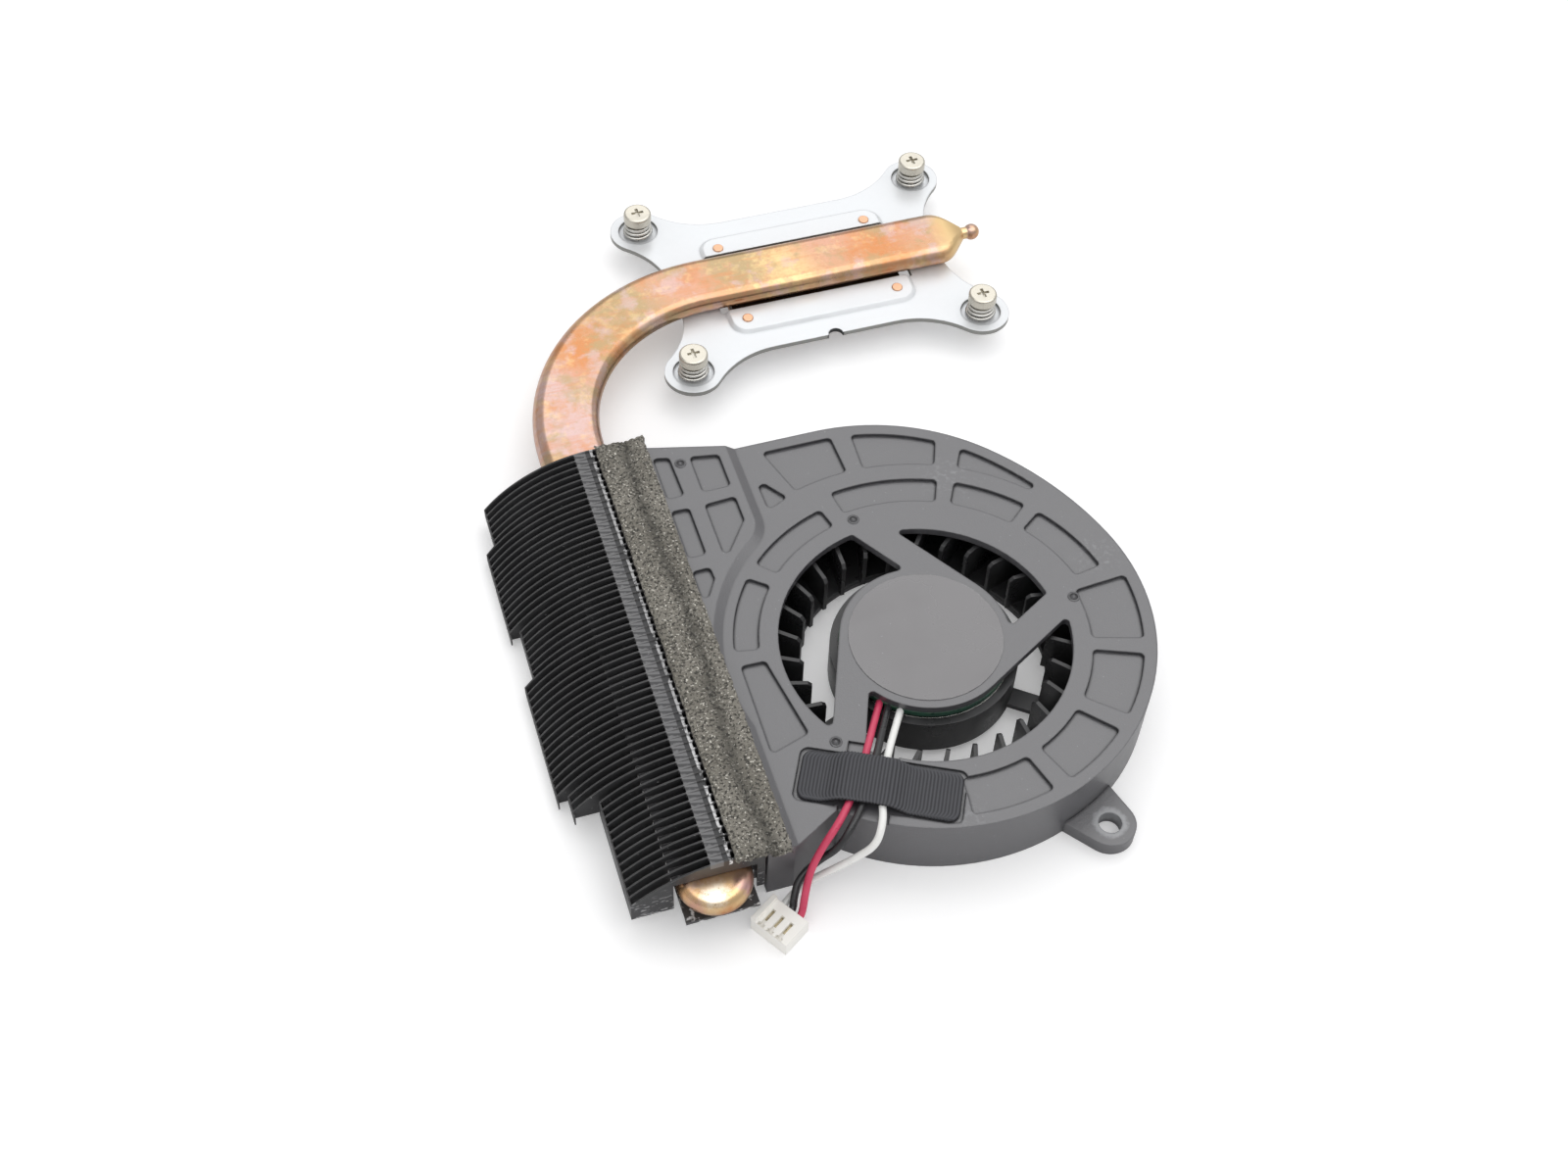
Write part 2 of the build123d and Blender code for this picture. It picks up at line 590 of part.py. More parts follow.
def duct_form(outline):
    """Return the raised part of the duct within an outline, with a slope along its ridge."""
    with BuildPart() as form:
        with BuildSketch():
            add(duct_side.sketch_local)
        extrude(amount=DUCT_RISE, taper=degrees(atan2(RIDGE_SLOPE, DUCT_RISE)))
        with BuildSketch():
            add(outline)
        extrude(amount=DUCT_RISE, mode=Mode.INTERSECT)
    return form.part


def sector(inner, outer, first, last):
    """Return a ring sector about the fan's axis, between two angles in degrees."""
    with BuildSketch() as ring:
        with BuildLine():
            outer_arc = CenterArc((0, 0), outer, first, last - first)
            inner_arc = CenterArc((0, 0), inner, first, last - first)
            Line(inner_arc @ 0, outer_arc @ 0)
            Line(inner_arc @ 1, outer_arc @ 1)
        make_face()
    return ring.sketch_local


with BuildSketch() as disc_pockets:
    for first, last in RIM_POCKETS:
        add(sector(RIM_POCKET_R, FIELD_R, first, last))
    for first, last in OUTER_POCKETS:
        add(sector(OUTER_POCKET_R, FIELD_R, first, last))
    for first, last in INNER_POCKETS:
        add(sector(*INNER_POCKET_R, first, last))
    for first, last in LEFT_POCKETS:
        add(sector(*LEFT_POCKET_R, first, last))
    for corners in DISC_PANELS:
        Polygon(*corners, align=None)
    add(pocket_field.sketch_local, mode=Mode.INTERSECT)
    offset(amount=-POCKET_CORNER)
    offset(amount=POCKET_CORNER)

with BuildSketch() as duct_pockets:
    for corners in DUCT_PANELS:
        Polygon(*corners, align=None)
    offset(amount=-POCKET_CORNER)
    offset(amount=POCKET_CORNER)

with BuildSketch() as tape_pocket:
    with Locations(Location((TAPE_X, TAPE_Y), TAPE_TURN)):
        RectangleRounded(TAPE_L + 2 * TAPE_MARGIN, TAPE_W + 2 * TAPE_MARGIN, TAPE_CORNER)
    add(plate_seat.sketch_local, mode=Mode.INTERSECT)

with BuildSketch() as wire_channel:
    with Locations(Location((TAPE_X, TAPE_Y), TAPE_TURN)):
        with Locations((TAPE_BUMP_MID, CHANNEL_IN)):
            Rectangle(CHANNEL_W, CHANNEL_IN + CHANNEL_OUT, align=(Align.CENTER, Align.MAX))

strut_roots = [Vector(HUB_PLATE_R, 0).rotate(Axis.Z, angle) for angle in STRUT_ANGLES]
with BuildSketch() as inlet:
    Circle(INLET_R)
    add(sector(INLET_R - INLET_LIP, INLET_R + INLET_LIP, *LIP_ANGLES), mode=Mode.SUBTRACT)
    Circle(HUB_PLATE_R, mode=Mode.SUBTRACT)
    for angle in STRUT_ANGLES:
        with PolarLocations(0, 1, start_angle=angle):
            with Locations((HUB_PLATE_R, 0)):
                Rectangle(STRUT_W, INLET_R + INLET_LIP, align=(Align.MAX, Align.MIN), mode=Mode.SUBTRACT)
    # the struts leave the hub plate at a tangent, where there is no corner to round
    corners = [corner for corner in inlet.vertices()
               if min((corner.center() - root).length for root in strut_roots) > INLET_CORNER]
    fillet(corners, INLET_CORNER)

with BuildPart() as fan_housing:
    with BuildSketch(fan_plane(FAN_BOTTOM)):
        add(scroll.sketch_local)
    extrude(amount=FAN_H)
    with Locations(fan_plane(FAN_TOP)):
        add(duct_form(scroll.sketch_local))
    with BuildSketch(fan_plane(FAN_BOTTOM)):
        with Locations((EAR_X, EAR_Y)):
            Circle(EAR_R)
        with Locations((EAR_X * EAR_ROOT_PULL, EAR_Y * EAR_ROOT_PULL)):
            Circle(EAR_ROOT_R)
        make_hull()
    extrude(amount=EAR_T)
    with BuildSketch(fan_plane(FAN_BOTTOM)):
        with Locations((EAR_X, EAR_Y)):
            Circle(EAR_HOLE_R)
    extrude(amount=EAR_T, mode=Mode.SUBTRACT)
    with BuildSketch(fan_plane(FAN_BOTTOM)):
        add(cavity.sketch_local)
    extrude(amount=FAN_H - COVER_T, mode=Mode.SUBTRACT)
    with Locations(fan_plane(COVER_UNDER)):
        add(duct_form(cavity.sketch_local), mode=Mode.SUBTRACT)
    with BuildSketch(fan_plane(FAN_BOTTOM)):
        add(plate_seat.sketch_local)
    extrude(amount=PLATE_T, mode=Mode.SUBTRACT)
    with BuildSketch(fan_plane(COVER_UNDER)):
        add(inlet.sketch_local)
    extrude(amount=COVER_T, mode=Mode.SUBTRACT)
    with BuildSketch(fan_plane(FAN_TOP - POCKET_DEPTH)):
        add(tape_pocket.sketch_local)
        add(wire_channel.sketch_local)
    extrude(amount=POCKET_DEPTH, mode=Mode.SUBTRACT)
    with BuildSketch(fan_plane(FAN_TOP - PANEL_DEPTH)):
        add(disc_pockets.sketch_local)
    extrude(amount=PANEL_DEPTH, mode=Mode.SUBTRACT)
    with BuildSketch(fan_plane(FAN_TOP + DUCT_RISE - PANEL_DEPTH)):
        add(duct_pockets.sketch_local)
    extrude(amount=PANEL_DEPTH, mode=Mode.SUBTRACT)
    with BuildSketch(fan_plane(COVER_UNDER)):
        Circle(TUBE_R)
    extrude(amount=TUBE_SEAT, mode=Mode.SUBTRACT)
save(fan_housing.part, "fan_housing")

# Bottom plate: drops into the housing's lower edge, open under the impeller
with BuildPart() as fan_bottom_plate:
    with BuildSketch(fan_plane(FAN_BOTTOM)):
        add(plate_seat.sketch_local)
        offset(amount=-PLATE_FIT)
        Circle(PLATE_INLET_R, mode=Mode.SUBTRACT)
    extrude(amount=PLATE_T)
save(fan_bottom_plate.part, "fan_bottom_plate")

# Motor, from the hub plate down: bearing tube, board, thrust disc, sleeve and stator
with BuildPart() as hub_label:
    with BuildSketch(fan_plane(FAN_TOP)):
        Circle(LABEL_R)
    extrude(amount=LABEL_T)
save(hub_label.part, "hub_label")

tube_top = COVER_UNDER + TUBE_SEAT
tube_bottom = COVER_UNDER - TUBE_LENGTH
with BuildPart() as bearing_tube:
    with BuildSketch(fan_plane(tube_bottom)):
        Circle(TUBE_R)
        Circle(SLEEVE_R, mode=Mode.SUBTRACT)
    extrude(amount=tube_top - tube_bottom)
save(bearing_tube.part, "bearing_tube")

with BuildPart() as motor_board:
    with BuildSketch(fan_plane(COVER_UNDER - BOARD_T)):
        Circle(BOARD_R)
        Circle(TUBE_R, mode=Mode.SUBTRACT)
    extrude(amount=BOARD_T)
save(motor_board.part, "motor_board")

with BuildPart() as thrust_disc:
    with BuildSketch(fan_plane(tube_top - THRUST_T)):
        Circle(SLEEVE_R)
    extrude(amount=THRUST_T)
save(thrust_disc.part, "thrust_disc")

with BuildPart() as bearing_sleeve:
    with BuildSketch(fan_plane(tube_bottom)):
        Circle(SLEEVE_R)
        Circle(SHAFT_R + SHAFT_FIT, mode=Mode.SUBTRACT)
    extrude(amount=SLEEVE_LENGTH)
save(bearing_sleeve.part, "bearing_sleeve")

hub_top = COVER_UNDER - BOARD_T - RUNNING_GAP
hub_bottom = FAN_BOTTOM + FLOOR_GAP
floor_top = hub_bottom + HUB_FLOOR
yoke_r = HUB_R - HUB_WALL
magnet_r = yoke_r - YOKE_T
core_r = magnet_r - MAGNET_T - RUNNING_GAP
core_bottom = (tube_bottom + COVER_UNDER - BOARD_T - CORE_T) / 2
with BuildPart() as stator_core:
    with BuildSketch(fan_plane(core_bottom)):
        Circle(TUBE_R + CORE_RING)
        for tooth in range(CORE_TEETH):
            angle = 360 / CORE_TEETH * tooth
            with PolarLocations(0, 1, start_angle=angle):
                Rectangle(core_r - TOOTH_TIP / 2, TOOTH_W, align=(Align.MIN, Align.CENTER))
            add(sector(core_r - TOOTH_TIP, core_r, angle - TOOTH_SPAN / 2, angle + TOOTH_SPAN / 2))
        Circle(TUBE_R, mode=Mode.SUBTRACT)
    extrude(amount=CORE_T)
save(stator_core.part, "stator_core")

coil_inner = TUBE_R + CORE_RING
coil_l = core_r - TOOTH_TIP - coil_inner
with BuildPart() as stator_coils:
    with BuildSketch(fan_plane(core_bottom - COIL_T)):
        with PolarLocations(coil_inner, CORE_TEETH):
            Rectangle(coil_l, TOOTH_W + 2 * COIL_T, align=(Align.MIN, Align.CENTER))
        Circle(coil_inner, mode=Mode.SUBTRACT)
        Circle(core_r - TOOTH_TIP, mode=Mode.INTERSECT)
    extrude(amount=CORE_T + 2 * COIL_T)
    with BuildSketch(fan_plane(core_bottom)):
        with PolarLocations(coil_inner, CORE_TEETH):
            Rectangle(2 * coil_l, TOOTH_W, align=(Align.CENTER, Align.CENTER))
    extrude(amount=CORE_T, mode=Mode.SUBTRACT)
save(stator_coils.part, "stator_coils")

# Rotor: impeller, steel yoke, ring magnet and shaft turn as one
shaft_top = tube_top - THRUST_T - THRUST_GAP
with BuildPart() as shaft:
    with BuildSketch(fan_plane(hub_bottom)):
        Circle(SHAFT_R)
    extrude(amount=shaft_top - hub_bottom)
save(shaft.part, "shaft")

with BuildPart() as rotor_yoke:
    with BuildSketch(fan_plane(floor_top)):
        Circle(yoke_r)
        Circle(magnet_r, mode=Mode.SUBTRACT)
    extrude(amount=hub_top - floor_top)
save(rotor_yoke.part, "rotor_yoke")

with BuildPart() as rotor_magnet:
    with BuildSketch(fan_plane(floor_top)):
        Circle(magnet_r)
        Circle(magnet_r - MAGNET_T, mode=Mode.SUBTRACT)
    extrude(amount=hub_top - floor_top)
save(rotor_magnet.part, "rotor_magnet")

ring_bottom = PLATE_TOP + BLADE_GAP
blade_h = COVER_UNDER - BLADE_GAP - ring_bottom
with BuildPart() as impeller:
    with BuildSketch(fan_plane(hub_bottom)):
        Circle(HUB_R)
    extrude(amount=hub_top - hub_bottom)
    with BuildSketch(fan_plane(floor_top)):
        Circle(yoke_r)
    extrude(amount=hub_top - floor_top, mode=Mode.SUBTRACT)
    with BuildSketch(fan_plane(floor_top)):
        Circle(HUB_BOSS_R)
    extrude(amount=HUB_BOSS_H)
    with BuildSketch(fan_plane(ring_bottom)):
        with PolarLocations(0, SPOKE_COUNT, start_angle=SPOKE_PHASE):
            with Locations((HUB_R - HUB_WALL / 2, 0)):
                Rectangle(RING_INNER_R + HUB_WALL - HUB_R, SPOKE_W, align=(Align.MIN, Align.CENTER))
    extrude(amount=RING_T)
    with BuildSketch(fan_plane(ring_bottom)):
        Circle(RING_OUTER_R)
        Circle(RING_INNER_R, mode=Mode.SUBTRACT)
    extrude(amount=RING_T)
    for blade in range(BLADE_COUNT):
        turn = 360 / BLADE_COUNT * blade
        root = Vector(BLADE_INNER_R, 0).rotate(Axis.Z, turn)
        along = Vector(1, 0).rotate(Axis.Z, turn - BLADE_LEAN)
        foot = Vector(FAN_X, FAN_Y, ring_bottom) + root
        with BuildSketch(Plane(origin=foot, x_dir=along, z_dir=along.rotate(Axis.Z, -90))):
            with BuildLine():
                Polyline((0, 0), (BLADE_REACH, 0), (BLADE_REACH, blade_h), (BLADE_CUT, blade_h),
                         (0, blade_h - BLADE_CUT), close=True)
            make_face()
        extrude(amount=BLADE_T / 2, both=True)
    with BuildSketch(fan_plane(hub_bottom)):
        Circle(SHAFT_R)
    extrude(amount=floor_top + HUB_BOSS_H - hub_bottom, mode=Mode.SUBTRACT)
save(impeller.part, "impeller")

# Cloth tape: lies in its pocket and bulges over the wires
tape_z = FAN_TOP - POCKET_DEPTH
tape_axis = Vector(1, 0, 0).rotate(Axis.Z, TAPE_TURN)
tape_middle = Vector(FAN_X + TAPE_X, FAN_Y + TAPE_Y, tape_z)
tape_plane = Plane(origin=tape_middle, x_dir=tape_axis, z_dir=tape_axis.rotate(Axis.Z, -90))
with BuildPart() as cloth_tape:
    with BuildSketch(tape_plane):
        Rectangle(TAPE_L, TAPE_T, align=(Align.CENTER, Align.MIN))
        with Locations((TAPE_BUMP_MID, 0)):
            Trapezoid(TAPE_BUMP_W + 2 * TAPE_BUMP_SLOPE + 2 * TAPE_T, TAPE_BUMP_H + TAPE_T, BUMP_ANGLE,
                      align=(Align.CENTER, Align.MIN))
            Trapezoid(TAPE_BUMP_W + 2 * TAPE_BUMP_SLOPE, TAPE_BUMP_H, BUMP_ANGLE,
                      align=(Align.CENTER, Align.MIN), mode=Mode.SUBTRACT)
    extrude(amount=TAPE_W / 2, both=True)
    fillet(cloth_tape.edges().filter_by(Axis.Z).group_by(lambda edge: edge.length)[0], TAPE_CORNER)
save(cloth_tape.part, "cloth_tape")

# Plug: a small moulded housing that lies on the table, wires in one side, contact slots on top
plug_plane = Plane(origin=(PLUG_X, PLUG_Y, FAN_BOTTOM), x_dir=Vector(1, 0, 0).rotate(Axis.Z, PLUG_TURN))
contact_plane = plug_plane.offset(PLUG_H - PLUG_SLOT_DEPTH - CONTACT_H)
wire_side = plug_plane.from_local_coords((0, PLUG_DEPTH / 2, 0))
wire_plane = Plane(origin=wire_side, x_dir=plug_plane.x_dir, z_dir=-plug_plane.y_dir)
with BuildPart() as plug:
    with BuildSketch(plug_plane):
        Rectangle(PLUG_W, PLUG_DEPTH)
    extrude(amount=PLUG_H)
    with BuildSketch(plug_plane.offset(PLUG_H)):
        with Locations((-PLUG_W / 2, 0)):
            Rectangle(PLUG_BEAK, PLUG_DEPTH, align=(Align.MIN, Align.CENTER))
    extrude(amount=PLUG_BEAK)
    with BuildSketch(plug_plane.offset(PLUG_H - PLUG_SLOT_DEPTH)):
        with Locations((0, PLUG_SLOT_SHIFT)):
            with GridLocations(PLUG_PITCH, 0, 3, 1):
                Rectangle(PLUG_SLOT_W, PLUG_SLOT_L)
                with Locations((0, -PLUG_SLOT_L / 2)):
                    Rectangle(2 * PLUG_SLOT_W, PLUG_SLOT_W)
    extrude(amount=PLUG_SLOT_DEPTH, mode=Mode.SUBTRACT)
    with BuildSketch(contact_plane):
        with GridLocations(PLUG_PITCH, 0, 3, 1):
            Rectangle(CONTACT_W, CONTACT_L)
    extrude(amount=CONTACT_H, mode=Mode.SUBTRACT)
    with BuildSketch(wire_plane):
        with Locations((0, PLUG_WIRE_Z)):
            with GridLocations(PLUG_PITCH, 0, 3, 1):
                Circle(WIRE_D / 2 + PLUG_HOLE_GAP)
    extrude(amount=PLUG_WIRE_SEAT, mode=Mode.SUBTRACT)
save(plug.part, "plug")

# Three crimped contacts inside the plug, under its slots
with BuildPart() as plug_contacts:
    with BuildSketch(contact_plane):
        with GridLocations(PLUG_PITCH, 0, 3, 1):
            Rectangle(CONTACT_W, CONTACT_L)
    extrude(amount=CONTACT_H)
save(plug_contacts.part, "plug_contacts")


# Wires: from the board's edge, under the tape and down to the plug
def corner_radii(route):
    """Return the largest bend radius that each corner of a route has room for."""
    points = [Vector(*place) for place in route]
    radii = []
    for before, corner, after in zip(points, points[1:], points[2:]):
        turn = (corner - before).get_angle(after - corner)
        run = min((corner - before).length, (after - corner).length)
        radii.append(BEND_SHARE * run / tan(radians(turn / 2)))
    return radii


for name, route in (("wire_red", RED_ROUTE), ("wire_black", BLACK_ROUTE), ("wire_white", WHITE_ROUTE)):
    radii = corner_radii(route)
    with BuildPart() as wire:
        with BuildLine():
            path = FilletPolyline(*route, radius=radii)
        with BuildSketch(Plane(origin=path @ 0, z_dir=path % 0)):
            Circle(WIRE_D / 2)
        sweep()
    print(name, "length", round(path.length, 1), "radii", [round(radius, 1) for radius in radii])
    save(wire.part, name)
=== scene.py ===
"""Looks of a laptop cooling fan with its heat pipe, fin stack and processor bracket.

Every piece is in metres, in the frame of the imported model: +Z up, the origin on the lower face
of the copper contact block.
"""

import json
import logging
import math
from collections.abc import Callable, Iterator
from contextlib import contextmanager
from dataclasses import dataclass
from enum import Enum
from typing import ClassVar

import bpy
from mathutils import Matrix, Vector, noise

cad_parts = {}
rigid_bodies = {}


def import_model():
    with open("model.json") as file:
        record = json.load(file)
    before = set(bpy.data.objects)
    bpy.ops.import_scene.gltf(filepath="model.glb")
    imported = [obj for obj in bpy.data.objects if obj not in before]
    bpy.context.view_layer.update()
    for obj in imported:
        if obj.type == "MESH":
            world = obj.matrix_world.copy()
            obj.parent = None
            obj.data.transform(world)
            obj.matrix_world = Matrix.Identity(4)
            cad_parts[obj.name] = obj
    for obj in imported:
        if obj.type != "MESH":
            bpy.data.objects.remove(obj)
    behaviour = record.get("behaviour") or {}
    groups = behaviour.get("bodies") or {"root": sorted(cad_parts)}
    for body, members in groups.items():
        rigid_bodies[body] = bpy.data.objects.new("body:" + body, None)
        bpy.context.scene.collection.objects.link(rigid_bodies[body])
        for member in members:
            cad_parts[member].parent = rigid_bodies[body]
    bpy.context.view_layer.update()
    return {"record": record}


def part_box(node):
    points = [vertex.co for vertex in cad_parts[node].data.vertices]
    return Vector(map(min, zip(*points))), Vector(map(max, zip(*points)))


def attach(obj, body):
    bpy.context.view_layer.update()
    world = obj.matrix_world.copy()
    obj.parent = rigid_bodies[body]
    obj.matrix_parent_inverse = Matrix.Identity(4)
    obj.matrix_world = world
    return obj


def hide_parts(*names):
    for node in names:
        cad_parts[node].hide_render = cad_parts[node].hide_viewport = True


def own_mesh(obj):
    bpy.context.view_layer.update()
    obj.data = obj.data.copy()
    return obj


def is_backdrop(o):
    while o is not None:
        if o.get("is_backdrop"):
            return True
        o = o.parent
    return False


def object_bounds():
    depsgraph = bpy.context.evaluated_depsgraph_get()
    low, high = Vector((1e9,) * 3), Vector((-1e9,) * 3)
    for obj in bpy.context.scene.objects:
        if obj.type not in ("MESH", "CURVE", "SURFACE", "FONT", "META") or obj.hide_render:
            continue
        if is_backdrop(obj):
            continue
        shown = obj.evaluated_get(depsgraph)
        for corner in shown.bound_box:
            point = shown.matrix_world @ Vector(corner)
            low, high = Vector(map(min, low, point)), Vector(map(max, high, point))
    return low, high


LOG = logging.getLogger("cooler")
MM = 0.001
FIXED_BODY = "frame"
SCREW_COUNT = 4
MERGE_DISTANCE = 1e-6
FLAT_ANGLE = 1.0
CREASE_ANGLE = 35.0
SOFT_ANGLE = 60.0
BEVEL_SAMPLES = 4
CORNER_SAMPLES = 6
X, Y, Z = range(3)
ORIGIN = (0.0, 0.0, 0.0)
WHITE = (1.0, 1.0, 1.0, 1.0)
Colour = tuple[float, float, float]
Place = tuple[float, float, float]
Span = tuple[float, float]
Piece = bpy.types.Object
Node = bpy.types.Node
Group = bpy.types.NodeTree
Socket = bpy.types.NodeSocket
Material = bpy.types.Material
Sockets = dict[str, Socket]
Inputs = dict[str, object]


class Ray(str, Enum):
    """Kinds of ray that the light tells apart."""

    CAMERA = "Is Camera Ray"
    GLOSSY = "Is Glossy Ray"
    TRANSMISSION = "Is Transmission Ray"


def deselect_all() -> None:
    """Leave nothing selected, in object mode."""
    if bpy.context.object and bpy.context.object.mode != "OBJECT":
        bpy.ops.object.mode_set(mode="OBJECT")
    bpy.ops.object.select_all(action="DESELECT")


def make_active(piece: Piece) -> None:
    """Select one piece alone and make it the active one."""
    deselect_all()
    piece.select_set(True)
    bpy.context.view_layer.objects.active = piece


@contextmanager
def editing(piece: Piece) -> Iterator[None]:
    """Hold one piece alone in edit mode."""
    make_active(piece)
    bpy.ops.object.mode_set(mode="EDIT")
    yield
    bpy.ops.object.mode_set(mode="OBJECT")


def apply_modifier(piece: Piece, kind: str, **settings: object) -> None:
    """Add a modifier of one of Blender's kinds, such as BEVEL, to a piece and apply it."""
    make_active(piece)
    modifier = piece.modifiers.new(kind.lower(), kind)
    for key, value in settings.items():
        setattr(modifier, key, value)
    bpy.ops.object.modifier_apply(modifier=modifier.name)


def smooth(piece: Piece, angle: float = CREASE_ANGLE) -> None:
    """Shade a piece smooth, except across edges sharper than angle in degrees."""
    make_active(piece)
    bpy.ops.object.shade_smooth_by_angle(angle=math.radians(angle))


def settle(piece: Piece) -> None:
    """Put a piece's place, turn and scale into its mesh."""
    make_active(piece)
    bpy.ops.object.transform_apply(location=True, rotation=True, scale=True)


def foot_of(node: str) -> Vector:
    """Return the middle of a CAD node's box, at its lowest height."""
    low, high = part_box(node)
    return Vector(((low[X] + high[X]) / 2, (low[Y] + high[Y]) / 2, low[Z]))


def add_piece(name: str, data: bpy.types.ID) -> Piece:
    """Return a new piece that holds a mesh or curve."""
    piece = bpy.data.objects.new(name, data)
    bpy.context.scene.collection.objects.link(piece)
    return piece


def add_copy(piece: Piece, name: str, place: Vector) -> Piece:
    """Return a copy of a piece with a mesh of its own, moved from the origin to a place."""
    copy = add_piece(name, piece.data.copy())
    copy.matrix_world = Matrix.Translation(place)
    settle(copy)
    return copy


def carry_over(node: str, name: str) -> Piece:
    """Return a copy of a CAD node as a new piece, its triangles joined into large faces."""
    piece = add_piece(name, bpy.data.objects[node].data.copy())
    piece.data.materials.clear()
    with editing(piece):
        bpy.ops.mesh.select_all(action="SELECT")
        bpy.ops.mesh.remove_doubles(threshold=MERGE_DISTANCE)
        bpy.ops.mesh.dissolve_limited(angle_limit=math.radians(FLAT_ANGLE))
    return piece


def dress(piece: Piece, material: Material) -> None:
    """Give every face of a piece one material, through the piece's slots."""
    if not piece.material_slots:
        piece.data.materials.append(material)
    for slot in piece.material_slots:
        slot.material = material


class ShaderTree:
    """A shader node tree with short ways to add and join nodes."""

    FIRST_COLOUR: ClassVar[int] = 6
    SECOND_COLOUR: ClassVar[int] = 7
    MIXED_COLOUR: ClassVar[int] = 2
    SWING_DETAIL: ClassVar[float] = 3.0

    def __init__(self, tree: Group) -> None:
        """Hold the tree that nodes are added to."""
        self.tree = tree

    def add(self, kind: str, inputs: dict | None = None, **settings: object) -> Node:
        """Return a new node.

        Args:
            kind: The node's type name without its ShaderNode prefix.
            inputs: Values or output sockets for the node's inputs, by name or index.
            settings: The node's own settings.
        """
        node = self.tree.nodes.new("ShaderNode" + kind)
        for key, value in settings.items():
            setattr(node, key, value)
        self.feed(node, inputs or {})
        return node

    def feed(self, node: Node, inputs: dict) -> None:
        """Set a node's inputs to plain values, or join them to output sockets."""
        for key, value in inputs.items():
            if isinstance(value, Socket):
                self.tree.links.new(value, node.inputs[key])
            else:
                node.inputs[key].default_value = value

    def group(self, group: Group, inputs: dict) -> Socket:
        """Place a shared group and return its first output."""
        return self.add("Group", inputs, node_tree=group).outputs[0]

    def math(self, operation: str, first: object, second: object = 0.0) -> Socket:
        """Return the result of a Math node on two values."""
        return self.add("Math", {0: first, 1: second}, operation=operation).outputs[0]

    def times(self, first: object, *others: object) -> Socket:
        """Return the product of several values."""
        for value in others:
            first = self.math("MULTIPLY", first, value)
        return first

    def distance(self, first: object, second: object) -> Socket:
        """Return how far apart two places are."""
        node = self.add("VectorMath", {0: first, 1: second}, operation="DISTANCE")
        return node.outputs["Value"]

    def ramp(self, value: object, start: object, end: object, low: float = 0.0,
             high: float = 1.0) -> Socket:
        """Return low where a value is at start, high where it is at end, and an even rise between."""
        return self.add("MapRange", {"Value": value, "From Min": start, "From Max": end,
                                     "To Min": low, "To Max": high}).outputs[0]

    def noise(self, place: Socket, scale: object, detail: float, roughness: float = 0.5) -> Socket:
        """Return a cloud of noise, about 0.5 in the middle of its range."""
        return self.add("TexNoise", {"Vector": place, "Scale": scale, "Detail": detail,
                                     "Roughness": roughness}).outputs[0]

    def swing(self, place: Socket, scale: float, reach: float) -> Socket:
        """Return noise that swings about 0 and reaches half of reach to either side."""
        cloud = self.noise(place, scale, self.SWING_DETAIL)
        return self.times(self.math("SUBTRACT", cloud, 0.5), reach)

    def blend(self, share: object, first: object, second: object) -> Socket:
        """Return a colour mixed from two, where share picks the second."""
        colours = {}
        for key, value in ((self.FIRST_COLOUR, first), (self.SECOND_COLOUR, second)):
            colours[key] = value if isinstance(value, Socket) else (*value, 1.0)
        mix = self.add("Mix", {0: share, **colours}, data_type="RGBA")
        return mix.outputs[self.MIXED_COLOUR]


